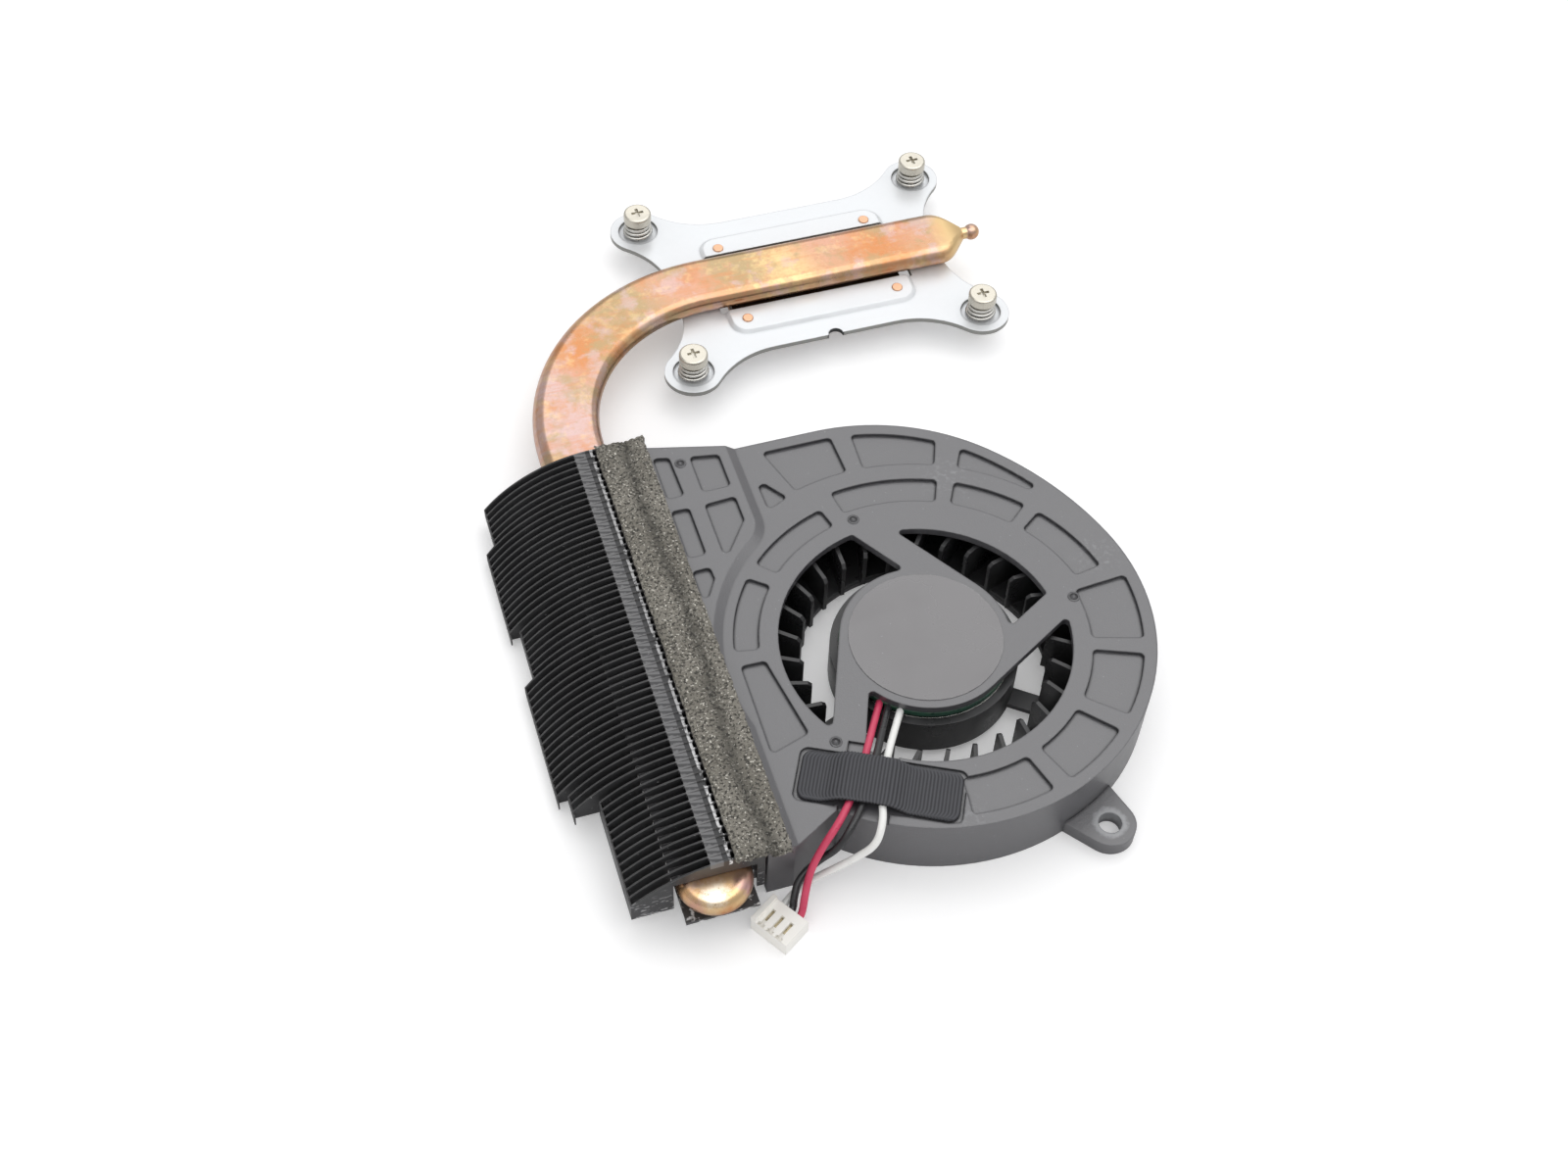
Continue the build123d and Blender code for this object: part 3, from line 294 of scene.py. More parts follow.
class SharedEffects:
    """Shader node groups that several finishes use, each built once."""

    RIM_RAG: ClassVar[float] = 2.4
    RIM_SCALE: ClassVar[float] = 900.0
    EDGE_SCALE: ClassVar[float] = 700.0
    EDGE_TURN: ClassVar[Span] = (0.995, 0.85)
    CORNER_LIGHT: ClassVar[Span] = (0.95, 0.55)

    def __init__(self) -> None:
        """Build the groups."""
        limits = {"Vector": ORIGIN, "Low": 0.4, "High": 0.7}
        self.patches = self.build("patches", {**limits, "Scale": 100.0}, self.patch_mask)
        self.streaks = self.build("streaks", {**limits, "Scale": ORIGIN}, self.streak_mask)
        self.worn_edges = self.build("worn_edges", {**limits, "Width": 0.0002}, self.edge_mask)
        self.spot = self.build("spot", {"Vector": ORIGIN, "Centre": ORIGIN, "Radius": 0.001,
                                        "Fade": 0.001}, self.spot_mask)
        self.grain = self.build("grain", {"Vector": ORIGIN, "Scale": 4000.0}, self.grain_height)
        self.crevice = self.build("crevice", {"Reach": 0.0006}, self.crevice_mask)

    @staticmethod
    def build(name: str, inputs: Inputs,
              draw: Callable[[ShaderTree, Sockets], Socket]) -> Group:
        """Return a new group.

        Args:
            name: The group's name.
            inputs: Default values of its inputs, by name; three numbers make a vector.
            draw: Adds the group's nodes and returns the socket that is the group's output.
        """
        group = bpy.data.node_groups.new(name, "ShaderNodeTree")
        for key, value in inputs.items():
            kind = "NodeSocketVector" if isinstance(value, tuple) else "NodeSocketFloat"
            group.interface.new_socket(key, in_out="INPUT", socket_type=kind).default_value = value
        group.interface.new_socket("Value", in_out="OUTPUT", socket_type="NodeSocketFloat")
        way_in = group.nodes.new("NodeGroupInput")
        way_out = group.nodes.new("NodeGroupOutput")
        tree = ShaderTree(group)
        tree.feed(way_out, {"Value": draw(tree, {key: way_in.outputs[key] for key in inputs})})
        return group

    @staticmethod
    def patch_mask(tree: ShaderTree, value: Sockets) -> Socket:
        """Return soft irregular patches of one size."""
        cloud = tree.noise(value["Vector"], value["Scale"], detail=4.0, roughness=0.6)
        return tree.ramp(cloud, value["Low"], value["High"])

    @staticmethod
    def streak_mask(tree: ShaderTree, value: Sockets) -> Socket:
        """Return fine marks drawn out along one axis."""
        drawn = tree.add("VectorMath", {0: value["Vector"], 1: value["Scale"]}, operation="MULTIPLY")
        line = tree.noise(drawn.outputs[0], 1.0, detail=2.0)
        return tree.ramp(line, value["Low"], value["High"])

    @classmethod
    def spot_mask(cls, tree: ShaderTree, value: Sockets) -> Socket:
        """Return one round spot with a ragged, fading rim."""
        away = tree.distance(value["Vector"], value["Centre"])
        cloud = tree.noise(value["Vector"], cls.RIM_SCALE, detail=5.0, roughness=0.7)
        shift = tree.times(tree.math("SUBTRACT", cloud, 0.5), value["Fade"], cls.RIM_RAG)
        edge = tree.math("ADD", value["Radius"], value["Fade"])
        return tree.ramp(tree.math("ADD", away, shift), edge, value["Radius"])

    @classmethod
    def edge_mask(cls, tree: ShaderTree, value: Sockets) -> Socket:
        """Return the edges, broken up along their length, that show rubbed wear and a painted
        highlight.
        """
        soft = tree.add("Bevel", {"Radius": value["Width"]}, samples=BEVEL_SAMPLES)
        flat = tree.add("NewGeometry")
        turn = tree.add("VectorMath", {0: soft.outputs[0], 1: flat.outputs["Normal"]},
                        operation="DOT_PRODUCT")
        cloud = tree.noise(value["Vector"], cls.EDGE_SCALE, detail=4.0)
        return tree.times(tree.ramp(turn.outputs["Value"], *cls.EDGE_TURN),
                          tree.ramp(cloud, value["Low"], value["High"]))

    @staticmethod
    def grain_height(tree: ShaderTree, value: Sockets) -> Socket:
        """Return the height of a fine surface grain."""
        return tree.noise(value["Vector"], value["Scale"], detail=3.0, roughness=0.6)

    @classmethod
    def crevice_mask(cls, tree: ShaderTree, value: Sockets) -> Socket:
        """Return the inner corners and narrow steps from ambient occlusion, as a mask for painted
        shade.
        """
        shade = tree.add("AmbientOcclusion", {"Distance": value["Reach"]}, samples=CORNER_SAMPLES,
                         only_local=True)
        return tree.ramp(shade.outputs["AO"], *cls.CORNER_LIGHT)


@dataclass(frozen=True)
class Cloud:
    """Irregular marks: how many fit in a metre, where in the noise they start and are full.

    A scale for each axis draws them out into streaks. The share is how much of their colour shows.
    """

    scale: float | Place
    low: float
    high: float
    share: float = 1.0


@dataclass(frozen=True)
class Painter:
    """One material's tree with the shared effects and the surface's place in the model's frame."""

    tree: ShaderTree
    effects: SharedEffects
    place: Socket

    def lay(self, colour: Socket, mark: Colour, mask: Socket, share: float = 1.0) -> Socket:
        """Return a colour with a mark over it: share of the mark shows where the mask is 1."""
        return self.tree.blend(self.tree.times(mask, share), colour, mark)

    def mask(self, group: Group, **inputs: object) -> Socket:
        """Place a shared group on the surface and return its output."""
        return self.tree.group(group, {"Vector": self.place, **inputs})

    def patches(self, cloud: Cloud) -> Socket:
        """Return a mask of irregular patches or streaks."""
        drawn_out = isinstance(cloud.scale, tuple)
        group = self.effects.streaks if drawn_out else self.effects.patches
        return self.mask(group, Scale=cloud.scale, Low=cloud.low, High=cloud.high)

    def cloud(self, colour: Socket, mark: Colour, cloud: Cloud) -> Socket:
        """Return a colour with patches or streaks of a mark laid over it."""
        return self.lay(colour, mark, self.patches(cloud), cloud.share)

    def spot(self, centre: Place, radius: float, fade: float) -> Socket:
        """Return a mask of one ragged round spot."""
        return self.mask(self.effects.spot, Centre=centre, Radius=radius, Fade=fade)

    def crevice(self, reach: float) -> Socket:
        """Return a mask of the inner corners, for painted shade."""
        return self.tree.group(self.effects.crevice, {"Reach": reach})

    def along(self, axis: int) -> Socket:
        """Return the surface's place along one axis."""
        return self.tree.add("SeparateXYZ", {0: self.place}).outputs[axis]

    def between(self, axis: int, ends: Span) -> Socket:
        """Return 1 where the place along an axis lies between two ends, and 0 elsewhere."""
        place = self.along(axis)
        return self.tree.times(self.tree.math("GREATER_THAN", place, ends[0]),
                               self.tree.math("LESS_THAN", place, ends[1]))


@dataclass(frozen=True)
class Finish:
    """A surface finish: base colour, patches, grain, and edges with wear and a painted highlight.

    Lengths are in metres. Patches are about patch_size across and mix in the second colour.
    """

    name: str
    colour: Colour
    second: Colour
    roughness: float = 0.5
    rough_spread: float = 0.12
    metallic: float = 0.0
    specular: float = 0.5
    patch_size: float = 0.002
    grain_size: float = 0.00025
    grain_depth: float = 0.00001
    grain_strength: float = 0.3
    edge_colour: Colour = (0.5, 0.5, 0.5)
    edge_width: float = 0.0002
    edge_low: float = 0.45
    edge_high: float = 0.8
    round_edges: float = 0.00012
    turns_per_patch: ClassVar[float] = 0.6
    patch_rise: ClassVar[Span] = (0.4, 0.7)

    def material(self, effects: SharedEffects) -> Material:
        """Return a new material of this finish, with its Principled BSDF."""
        material = bpy.data.materials.new(self.name)
        material.use_nodes = True
        tree = ShaderTree(material.node_tree)
        shader = material.node_tree.nodes["Principled BSDF"]
        paint = Painter(tree, effects, tree.add("TexCoord").outputs["Object"])
        patch = paint.patches(Cloud(self.turns_per_patch / self.patch_size, *self.patch_rise))
        colour = self.tint(paint, tree.blend(patch, self.colour, self.second))
        edge = paint.mask(effects.worn_edges, Width=self.edge_width, Low=self.edge_low,
                          High=self.edge_high)
        spread = tree.ramp(patch, 0.0, 1.0, self.roughness - self.rough_spread,
                           self.roughness + self.rough_spread)
        rounded = tree.add("Bevel", {"Radius": self.round_edges}, samples=BEVEL_SAMPLES)
        bump = tree.add("Bump", {
            "Strength": self.grain_strength, "Distance": self.grain_depth,
            "Height": paint.mask(effects.grain, Scale=1.0 / self.grain_size),
            "Normal": rounded.outputs[0]})
        # The edge colour on the edges is both rubbed wear and a painted highlight along the rims.
        tree.feed(shader, {"Base Color": tree.blend(edge, colour, self.edge_colour),
                           "Roughness": spread, "Metallic": self.metallic,
                           "Normal": bump.outputs[0], **self.gloss(paint)})
        return material

    def tint(self, paint: Painter, colour: Socket) -> Socket:
        """Return the colour with this finish's own marks added."""
        return colour

    def gloss(self, paint: Painter) -> Inputs:
        """Return the shader inputs that set how strongly the surface mirrors its surroundings."""
        return {"Specular IOR Level": self.specular}


@dataclass(frozen=True)
class CopperFinish(Finish):
    """Bare copper that has oxidised in lilac, rose, gold, grey-green and rust patches.

    Stains are round clouds: place along X and Y, reach and colour. Nose marks are stains and one
    pale painted highlight on the pipe's near end: place, reach and colour. Lengths are in metres.
    """

    lilac: ClassVar[Colour] = (0.55, 0.40, 0.385)
    rose: ClassVar[Colour] = (0.56, 0.32, 0.235)
    gold: ClassVar[Colour] = (0.74, 0.54, 0.27)
    moss: ClassVar[Colour] = (0.38, 0.30, 0.165)
    rust: ClassVar[Colour] = (0.54, 0.22, 0.085)
    # The pale colour is a painted highlight on the nose.
    pale: ClassVar[Colour] = (0.97, 0.90, 0.76)
    violet: ClassVar[Colour] = (0.55, 0.33, 0.33)
    stains: tuple[tuple[float, float, float, Colour], ...] = (
        (-0.0475, -0.0290, 0.0100, lilac), (-0.0455, -0.0180, 0.0060, lilac),
        (-0.0410, -0.0120, 0.0065, rust), (-0.0368, -0.0165, 0.0045, moss),
        (-0.0310, -0.0060, 0.0075, moss), (-0.0215, -0.0010, 0.0070, rose),
        (-0.0110, 0.0020, 0.0075, moss), (-0.0040, -0.0015, 0.0055, gold),
        (0.0040, 0.0025, 0.0070, rose), (0.0125, -0.0005, 0.0065, rust),
        (0.0180, 0.0025, 0.0050, rose))
    stain_z: float = 0.0061
    stain_core: float = 0.2
    stain_share: float = 0.85
    clouds: tuple[tuple[Colour, Cloud], ...] = (
        (rust, Cloud(130.0, 0.53, 0.63, 0.50)), (moss, Cloud(170.0, 0.51, 0.61, 0.65)),
        (lilac, Cloud(230.0, 0.52, 0.62, 0.60)), (gold, Cloud(420.0, 0.54, 0.68, 0.36)),
        (rose, Cloud(900.0, 0.54, 0.70, 0.28)), (moss, Cloud(1500.0, 0.55, 0.70, 0.30)),
        (rust, Cloud((120.0, 900.0, 900.0), 0.52, 0.70, 0.35)))
    drawn_start: Span = (0.0212, 0.0242)
    drawn_end: Span = (0.0281, 0.0276)
    drawn_highlight_share: float = 0.85
    nose_start: Span = (-0.1068, -0.1098)
    nose_highlight_share: float = 0.6
    nose_core: float = 0.3
    nose_fade: float = 0.7
    nose_stains_and_highlight: tuple[tuple[Place, float, Colour], ...] = (
        ((-0.0485, -0.1095, 0.0058), 0.0024, pale), ((-0.0440, -0.1085, 0.0052), 0.0026, violet),
        ((-0.0508, -0.1096, 0.0042), 0.0022, rose), ((-0.0470, -0.1118, 0.0030), 0.0024, rust))
    nose_specks: Cloud = Cloud(1800.0, 0.66, 0.70)

    def tint(self, paint: Painter, colour: Socket) -> Socket:
        """Add stains, clouds and faint streaks of oxide, and a painted highlight on the pipe's two
        drawn ends.
        """
        tree = paint.tree
        for x, y, reach, mark in self.stains:
            stain = paint.spot((x, y, self.stain_z), reach * self.stain_core, reach)
            colour = paint.lay(colour, mark, stain, self.stain_share)
        for mark, cloud in self.clouds:
            colour = paint.cloud(colour, mark, cloud)
        # Painted highlight: gold laid over the drawn taper.
        drawn = tree.times(tree.ramp(paint.along(X), *self.drawn_start),
                           tree.ramp(paint.along(X), *self.drawn_end))
        colour = paint.lay(colour, self.gold, drawn, self.drawn_highlight_share)
        nose = tree.ramp(paint.along(Y), *self.nose_start)
        # Painted highlight: gold laid over the nose.
        colour = paint.lay(colour, self.gold, nose, self.nose_highlight_share)
        # Of the nose marks, the pale one is a painted highlight and the others are stains.
        for centre, reach, mark in self.nose_stains_and_highlight:
            spot = paint.spot(centre, reach * self.nose_core, reach * self.nose_fade)
            colour = paint.lay(colour, mark, tree.times(spot, nose))
        return paint.lay(colour, self.moss, tree.times(paint.patches(self.nose_specks), nose))


@dataclass(frozen=True)
class BlockFinish(Finish):
    """Bare copper, with painted shade between the pads where the gap beside the pipe lies, bright
    elsewhere.
    """

    pad_gap_shade: Colour = (0.045, 0.038, 0.032)
    pad_gap_shade_z: Span = (0.0008, 0.0026)
    pad_gap_shade_share: float = 0.9

    def tint(self, paint: Painter, colour: Socket) -> Socket:
        """Paint shade onto the copper between two heights."""
        # Painted shade: a dark band on the block, seen through the gap between pipe and pads.
        return paint.lay(colour, self.pad_gap_shade, paint.between(Z, self.pad_gap_shade_z), self.pad_gap_shade_share)


@dataclass(frozen=True)
class SheetFinish(Finish):
    """Plated sheet with dull cut edges, painted shade in its inner corners, and darkest in the notch.
    """

    cut: Colour = (0.22, 0.22, 0.20)
    cut_tilt: Span = (0.5, 0.2)
    cut_share: float = 0.9
    dark: Colour = (0.02, 0.02, 0.02)
    notch: Place = (0.0, -0.0153, 0.0019)
    notch_reach: float = 0.0014
    foot: Colour = (0.36, 0.37, 0.39)
    foot_shade_reach: float = 0.0007
    foot_shade_share: float = 0.8

    def tint(self, paint: Painter, colour: Socket) -> Socket:
        """Paint shade into the inner corners and darken the sheared walls of the sheet."""
        tree = paint.tree
        face = tree.add("SeparateXYZ", {0: tree.add("NewGeometry").outputs["True Normal"]})
        wall = tree.ramp(tree.math("ABSOLUTE", face.outputs[Z]), *self.cut_tilt)
        # Painted shade: the foot colour darkens the inner corners of the sheet.
        colour = paint.lay(colour, self.foot, paint.crevice(self.foot_shade_reach), self.foot_shade_share)
        colour = paint.lay(colour, self.cut, wall, self.cut_share)
        notch = tree.math("LESS_THAN", tree.distance(paint.place, self.notch), self.notch_reach)
        return paint.lay(colour, self.dark, tree.times(notch, wall))


@dataclass(frozen=True)
class CoverFinish(Finish):
    """Matt moulded plastic with scuffs, pale specks, a rubbed screw ear and painted corner shade.

    Scuff spots are a place and a reach, in metres.
    """

    index: float = 1.7
    shine: float = 0.85
    corner_shade_shine: float = 0.1
    corner_shade_reach: float = 0.0005
    corner_shade_share: float = 0.9
    shadow: Colour = (0.02, 0.02, 0.022)
    scuff: Colour = (0.42, 0.43, 0.45)
    scuff_spots: tuple[tuple[Place, float], ...] = ()
    scuff_core: float = 0.1
    scuff_cloud: Cloud = Cloud(1300.0, 0.50, 0.68, 0.2)
    specks: Cloud = Cloud(2200.0, 0.70, 0.74, 0.5)
    ear: Place = (0.007, -0.1116, -0.0001)
    ear_rim: float = 0.0020
    ear_fade: float = 0.0006
    ear_share: float = 0.5

    def tint(self, paint: Painter, colour: Socket) -> Socket:
        """Add painted shade in the inner corners, faint scuffs, dust specks and the pale rim of the
        screw ear.
        """
        # Painted shade: the shadow colour darkens the inner corners.
        corner = paint.crevice(self.corner_shade_reach)
        colour = paint.lay(colour, self.shadow, corner, self.corner_shade_share)
        rub = paint.patches(self.scuff_cloud)
        for centre, reach in self.scuff_spots:
            spot = paint.tree.times(paint.spot(centre, reach * self.scuff_core, reach), rub)
            colour = paint.lay(colour, self.scuff, spot, self.scuff_cloud.share)
        colour = paint.cloud(colour, self.scuff, self.specks)
        rim = paint.spot(self.ear, self.ear_rim, self.ear_fade)
        return paint.lay(colour, self.scuff, rim, self.ear_share)

    def gloss(self, paint: Painter) -> Inputs:
        """Paint shade into the reflection: mirror less in the inner corners than on the open faces.
        """
        # Painted shade in the reflection: the specular level drops in the inner corners.
        corner = paint.crevice(self.corner_shade_reach)
        level = paint.tree.ramp(corner, 0.0, 1.0, self.shine, self.shine * self.corner_shade_shine)
        return {"IOR": self.index, "Specular IOR Level": level}


@dataclass(frozen=True)
class FinFinish(Finish):
    """Blackened fins with bare metal where the coat is rubbed off, painted shade in flange gaps.
    Lengths in metres.

    The rag of the painted shade in the flange gaps is a noise: how many swings fit in a metre, and
    its reach.
    """

    bare: Colour = (0.86, 0.86, 0.87)
    dull: Colour = (0.19, 0.189, 0.194)
    band_x: Span = (-0.0482, -0.0464)
    band_z: float = 0.0080
    first_y: float = -0.0345
    pitch: float = 0.00125
    flange_gap_shade_slant: float = 0.25
    flange_gap_shade_rag: Span = (1600.0, 0.9)
    flange_gap_shade_end: Span = (0.26, 0.42)
    flange_gap_shade_shares: Span = (0.15, 0.9)
    flecks: Cloud = Cloud(1500.0, 0.70, 0.74, 0.5)
    line_x: Span = (-0.0457, -0.0452)
    line_chips: Cloud = Cloud(800.0, 0.40, 0.50)
    line_fade: Span = (-0.08, -0.095)
    line_far: float = 0.6
    corner_y: Span = (-0.1055, -0.1095)
    corner_z: Span = (0.006, 0.001)
    corner_wear: Cloud = Cloud((900.0, 900.0, 2600.0), 0.55, 0.62, 0.9)

    def tint(self, paint: Painter, colour: Socket) -> Socket:
        """Add the dull band with painted shade in the flange gaps, the bare line beside the foam and
        bare flecks at the near end.
        """
        tree = paint.tree
        top = tree.math("GREATER_THAN", paint.along(Z), self.band_z)
        band = tree.times(paint.between(X, self.band_x), top)
        # Painted shade: the dull band gives way to the dark coat in the gap beside each flange.
        colour = paint.lay(colour, self.dull, tree.times(band, self.flat_of_flange(paint)))
        colour = paint.cloud(colour, self.bare, self.flecks)
        line = tree.times(paint.between(X, self.line_x), paint.patches(self.line_chips))
        near_third = tree.ramp(paint.along(Y), *self.line_fade, low=self.line_far)
        colour = paint.lay(colour, self.bare, tree.times(line, top, near_third))
        wear = tree.times(tree.ramp(paint.along(Y), *self.corner_y),
                          tree.ramp(paint.along(Z), *self.corner_z), paint.patches(self.corner_wear))
        return paint.lay(colour, self.bare, wear, self.corner_wear.share)

    def flat_of_flange(self, paint: Painter) -> Socket:
        """Return how much of the dull band shows: less in the slanted gap beside each fin, as painted
        shade.
        """
        tree = paint.tree
        slanted = tree.math("ADD", paint.along(Y), tree.times(paint.along(X), self.flange_gap_shade_slant))
        phase = tree.math("FRACT", tree.math("DIVIDE", tree.math("SUBTRACT", self.first_y, slanted),
                                             self.pitch))
        rag = tree.swing(paint.place, *self.flange_gap_shade_rag)
        return tree.ramp(tree.math("ADD", phase, rag), *self.flange_gap_shade_end, *self.flange_gap_shade_shares)


@dataclass(frozen=True)
class FoamFinish(Finish):
    """Open-cell foam: pale cell walls and dark pores, with a few that glint. Lengths in metres.

    The wander of the painted shade along the crease is a noise: how many swings fit in a metre, and
    its reach.
    """

    pore_and_crease_shade: Colour = (0.018, 0.017, 0.014)
    pores: Cloud = Cloud(2500.0, 0.50, 0.58, 0.85)
    glint: Colour = (0.85, 0.82, 0.74)
    glints: Cloud = Cloud(2800.0, 0.59, 0.67, 0.85)
    crease_x: float = -0.0405
    crease_half: float = 0.0015
    crease_wander: Span = (90.0, 0.004)
    crease_shade_share: float = 0.6

    def tint(self, paint: Painter, colour: Socket) -> Socket:
        """Add pores and glints at the size of the cells, and paint shade along the long crease."""
        tree = paint.tree
        colour = paint.cloud(colour, self.pore_and_crease_shade, self.pores)
        colour = paint.cloud(colour, self.glint, self.glints)
        wander = tree.swing(paint.place, *self.crease_wander)
        across = tree.math("ADD", paint.along(X), wander)
        away = tree.math("ABSOLUTE", tree.math("SUBTRACT", across, self.crease_x))
        crease = tree.ramp(away, self.crease_half, 0.0)
        # Painted shade along the crease, in the pore colour.
        return paint.lay(colour, self.pore_and_crease_shade, crease, self.crease_shade_share)


@dataclass(frozen=True)
class ClothFinish(Finish):
    """Dull woven cloth with a painted highlight on its rib crests, which scatters light at a low
    angle.
    """

    crest_highlight: Colour = (0.100, 0.101, 0.110)
    sheen: float = 0.07
    sheen_roughness: float = 0.5

    def tint(self, paint: Painter, colour: Socket) -> Socket:
        """Paint a highlight on the crests of the ribs, which the mesh marks in its rib attribute."""
        rib = paint.tree.add("Attribute", attribute_name=ClothTape.RIB_MARK)
        # Painted highlight: the crest colour lightens the rib crests.
        return paint.lay(colour, self.crest_highlight, rib.outputs["Fac"])

    def gloss(self, paint: Painter) -> Inputs:
        """Add the cloth's sheen."""
        return {**super().gloss(paint), "Sheen Weight": self.sheen,
                "Sheen Roughness": self.sheen_roughness}


class Finishes:
    """Every finish of the part, built once and handed out by the record's slot."""

    table: ClassVar[dict[str, Finish]] = {
        "copper_pipe": CopperFinish(
            "oxidised_copper", (0.53, 0.285, 0.155), (0.57, 0.355, 0.22), 0.27,
            rough_spread=0.06, metallic=0.92, patch_size=0.009, grain_size=0.0008,
            grain_depth=0.00002, edge_colour=(0.85, 0.58, 0.36)),
        "copper": BlockFinish(
            "bare_copper", (0.66, 0.38, 0.24), (0.74, 0.46, 0.30), 0.34, metallic=0.9,
            patch_size=0.003, edge_colour=(0.85, 0.55, 0.36)),
        "zinc_steel": SheetFinish(
            "zinc_plate", (0.75, 0.77, 0.79), (0.81, 0.825, 0.845), 0.40, metallic=0.3,
            patch_size=0.006, round_edges=0.0003, grain_size=0.0005, grain_depth=0.000012,
            edge_colour=(0.9, 0.9, 0.92)),
        "nickel_steel": Finish(
            "nickel_plate", (0.54, 0.51, 0.44), (0.61, 0.58, 0.51), 0.3, metallic=0.95,
            edge_colour=(0.86, 0.84, 0.78)),
        "steel": Finish(
            "spring_steel", (0.56, 0.55, 0.52), (0.66, 0.65, 0.62), 0.3, metallic=1.0,
            edge_colour=(0.75, 0.74, 0.72)),
        "black_fin": FinFinish(
            "black_fin_coat", (0.042, 0.042, 0.044), (0.054, 0.054, 0.057), 0.44, specular=0.3,
            patch_size=0.004, edge_colour=(0.20, 0.196, 0.19), edge_width=0.0001,
            edge_low=0.25, edge_high=0.55),
        "grey_foam": FoamFinish(
            "foam", (0.170, 0.158, 0.132), (0.257, 0.242, 0.210), 0.85, patch_size=0.005,
            grain_size=0.0004, grain_depth=0.0003, grain_strength=0.9,
            edge_colour=(0.3, 0.28, 0.25)),
        "dark_plastic": CoverFinish(
            "moulded_cover", (0.061, 0.060, 0.067), (0.071, 0.070, 0.077), 0.36,
            rough_spread=0.04, patch_size=0.012, grain_size=0.00022, grain_depth=0.00005,
            grain_strength=0.7, edge_colour=(0.15, 0.15, 0.157), edge_width=0.00022,
            round_edges=0.00035, scuff_spots=(
                ((0.0044, -0.0530, 0.0076), 0.0042), ((0.0189, -0.0542, 0.0076), 0.0040),
                ((0.0203, -0.0733, 0.0076), 0.0042), ((-0.0132, -0.1088, 0.0076), 0.0030))),
        "black_plastic": Finish(
            "impeller_plastic", (0.026, 0.026, 0.027), (0.036, 0.036, 0.038), 0.38,
            patch_size=0.004, edge_colour=(0.10, 0.10, 0.105)),
        "label_film": CoverFinish(
            "label_film", (0.098, 0.092, 0.098), (0.109, 0.103, 0.108), 0.34, patch_size=0.008,
            grain_strength=0.12),
        "brass": Finish(
            "turned_brass", (0.42, 0.36, 0.24), (0.50, 0.44, 0.32), 0.35, metallic=1.0),
        "white_plastic": Finish(
            "white_moulding", (0.78, 0.78, 0.75), (0.84, 0.84, 0.82), 0.45, patch_size=0.006),
        "green_board": Finish(
            "circuit_board", (0.012, 0.05, 0.032), (0.02, 0.08, 0.05), 0.35,
            patch_size=0.0015, edge_colour=(0.16, 0.2, 0.12)),
        "magnet": Finish("magnet", (0.05, 0.05, 0.052), (0.07, 0.07, 0.072), 0.6, patch_size=0.006),
        "black_cloth": ClothFinish(
            "ribbed_cloth", (0.004, 0.004, 0.005), (0.008, 0.008, 0.010), 0.7, specular=0.08,
            grain_size=0.00012, grain_depth=0.00004, grain_strength=0.5,
            edge_colour=(0.06, 0.06, 0.062)),
        "red_sleeve": Finish(
            "red_sleeve", (0.58, 0.045, 0.11), (0.66, 0.07, 0.14), 0.38,
            edge_colour=(0.6, 0.06, 0.12)),
        "black_sleeve": Finish(
            "black_sleeve", (0.02, 0.02, 0.022), (0.03, 0.03, 0.032), 0.35,
            edge_colour=(0.04, 0.04, 0.042)),
        "white_sleeve": Finish(
            "white_sleeve", (0.86, 0.86, 0.84), (0.90, 0.90, 0.88), 0.38,
            edge_colour=(0.85, 0.85, 0.83)),
        "ivory_plastic": Finish(
            "ivory_plug", (0.94, 0.92, 0.87), (0.96, 0.945, 0.91), 0.42,
            edge_colour=(0.88, 0.86, 0.8)),
    }

    def __init__(self, effects: SharedEffects) -> None:
        """Build the materials."""
        self.by_slot = {slot: finish.material(effects) for slot, finish in self.table.items()}

    def of(self, slot: str) -> Material:
        """Return the material of one of the record's slots."""
        return self.by_slot[slot]

    def hand_over(self, piece: Piece, slot: str, *nodes: str) -> None:
        """Finish a piece by its slot, tie it to the fixed body and let it replace CAD nodes."""
        dress(piece, self.of(slot))
        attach(piece, FIXED_BODY)
        if nodes:
            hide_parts(*nodes)
        LOG.info("piece %s in %s stands for %s", piece.name, slot, ", ".join(nodes) or "no node")


@dataclass(frozen=True)
class Lamp:
    """A square area lamp. Lengths in metres, power in watts."""

    name: str
    place: Place
    size: float
    power: float


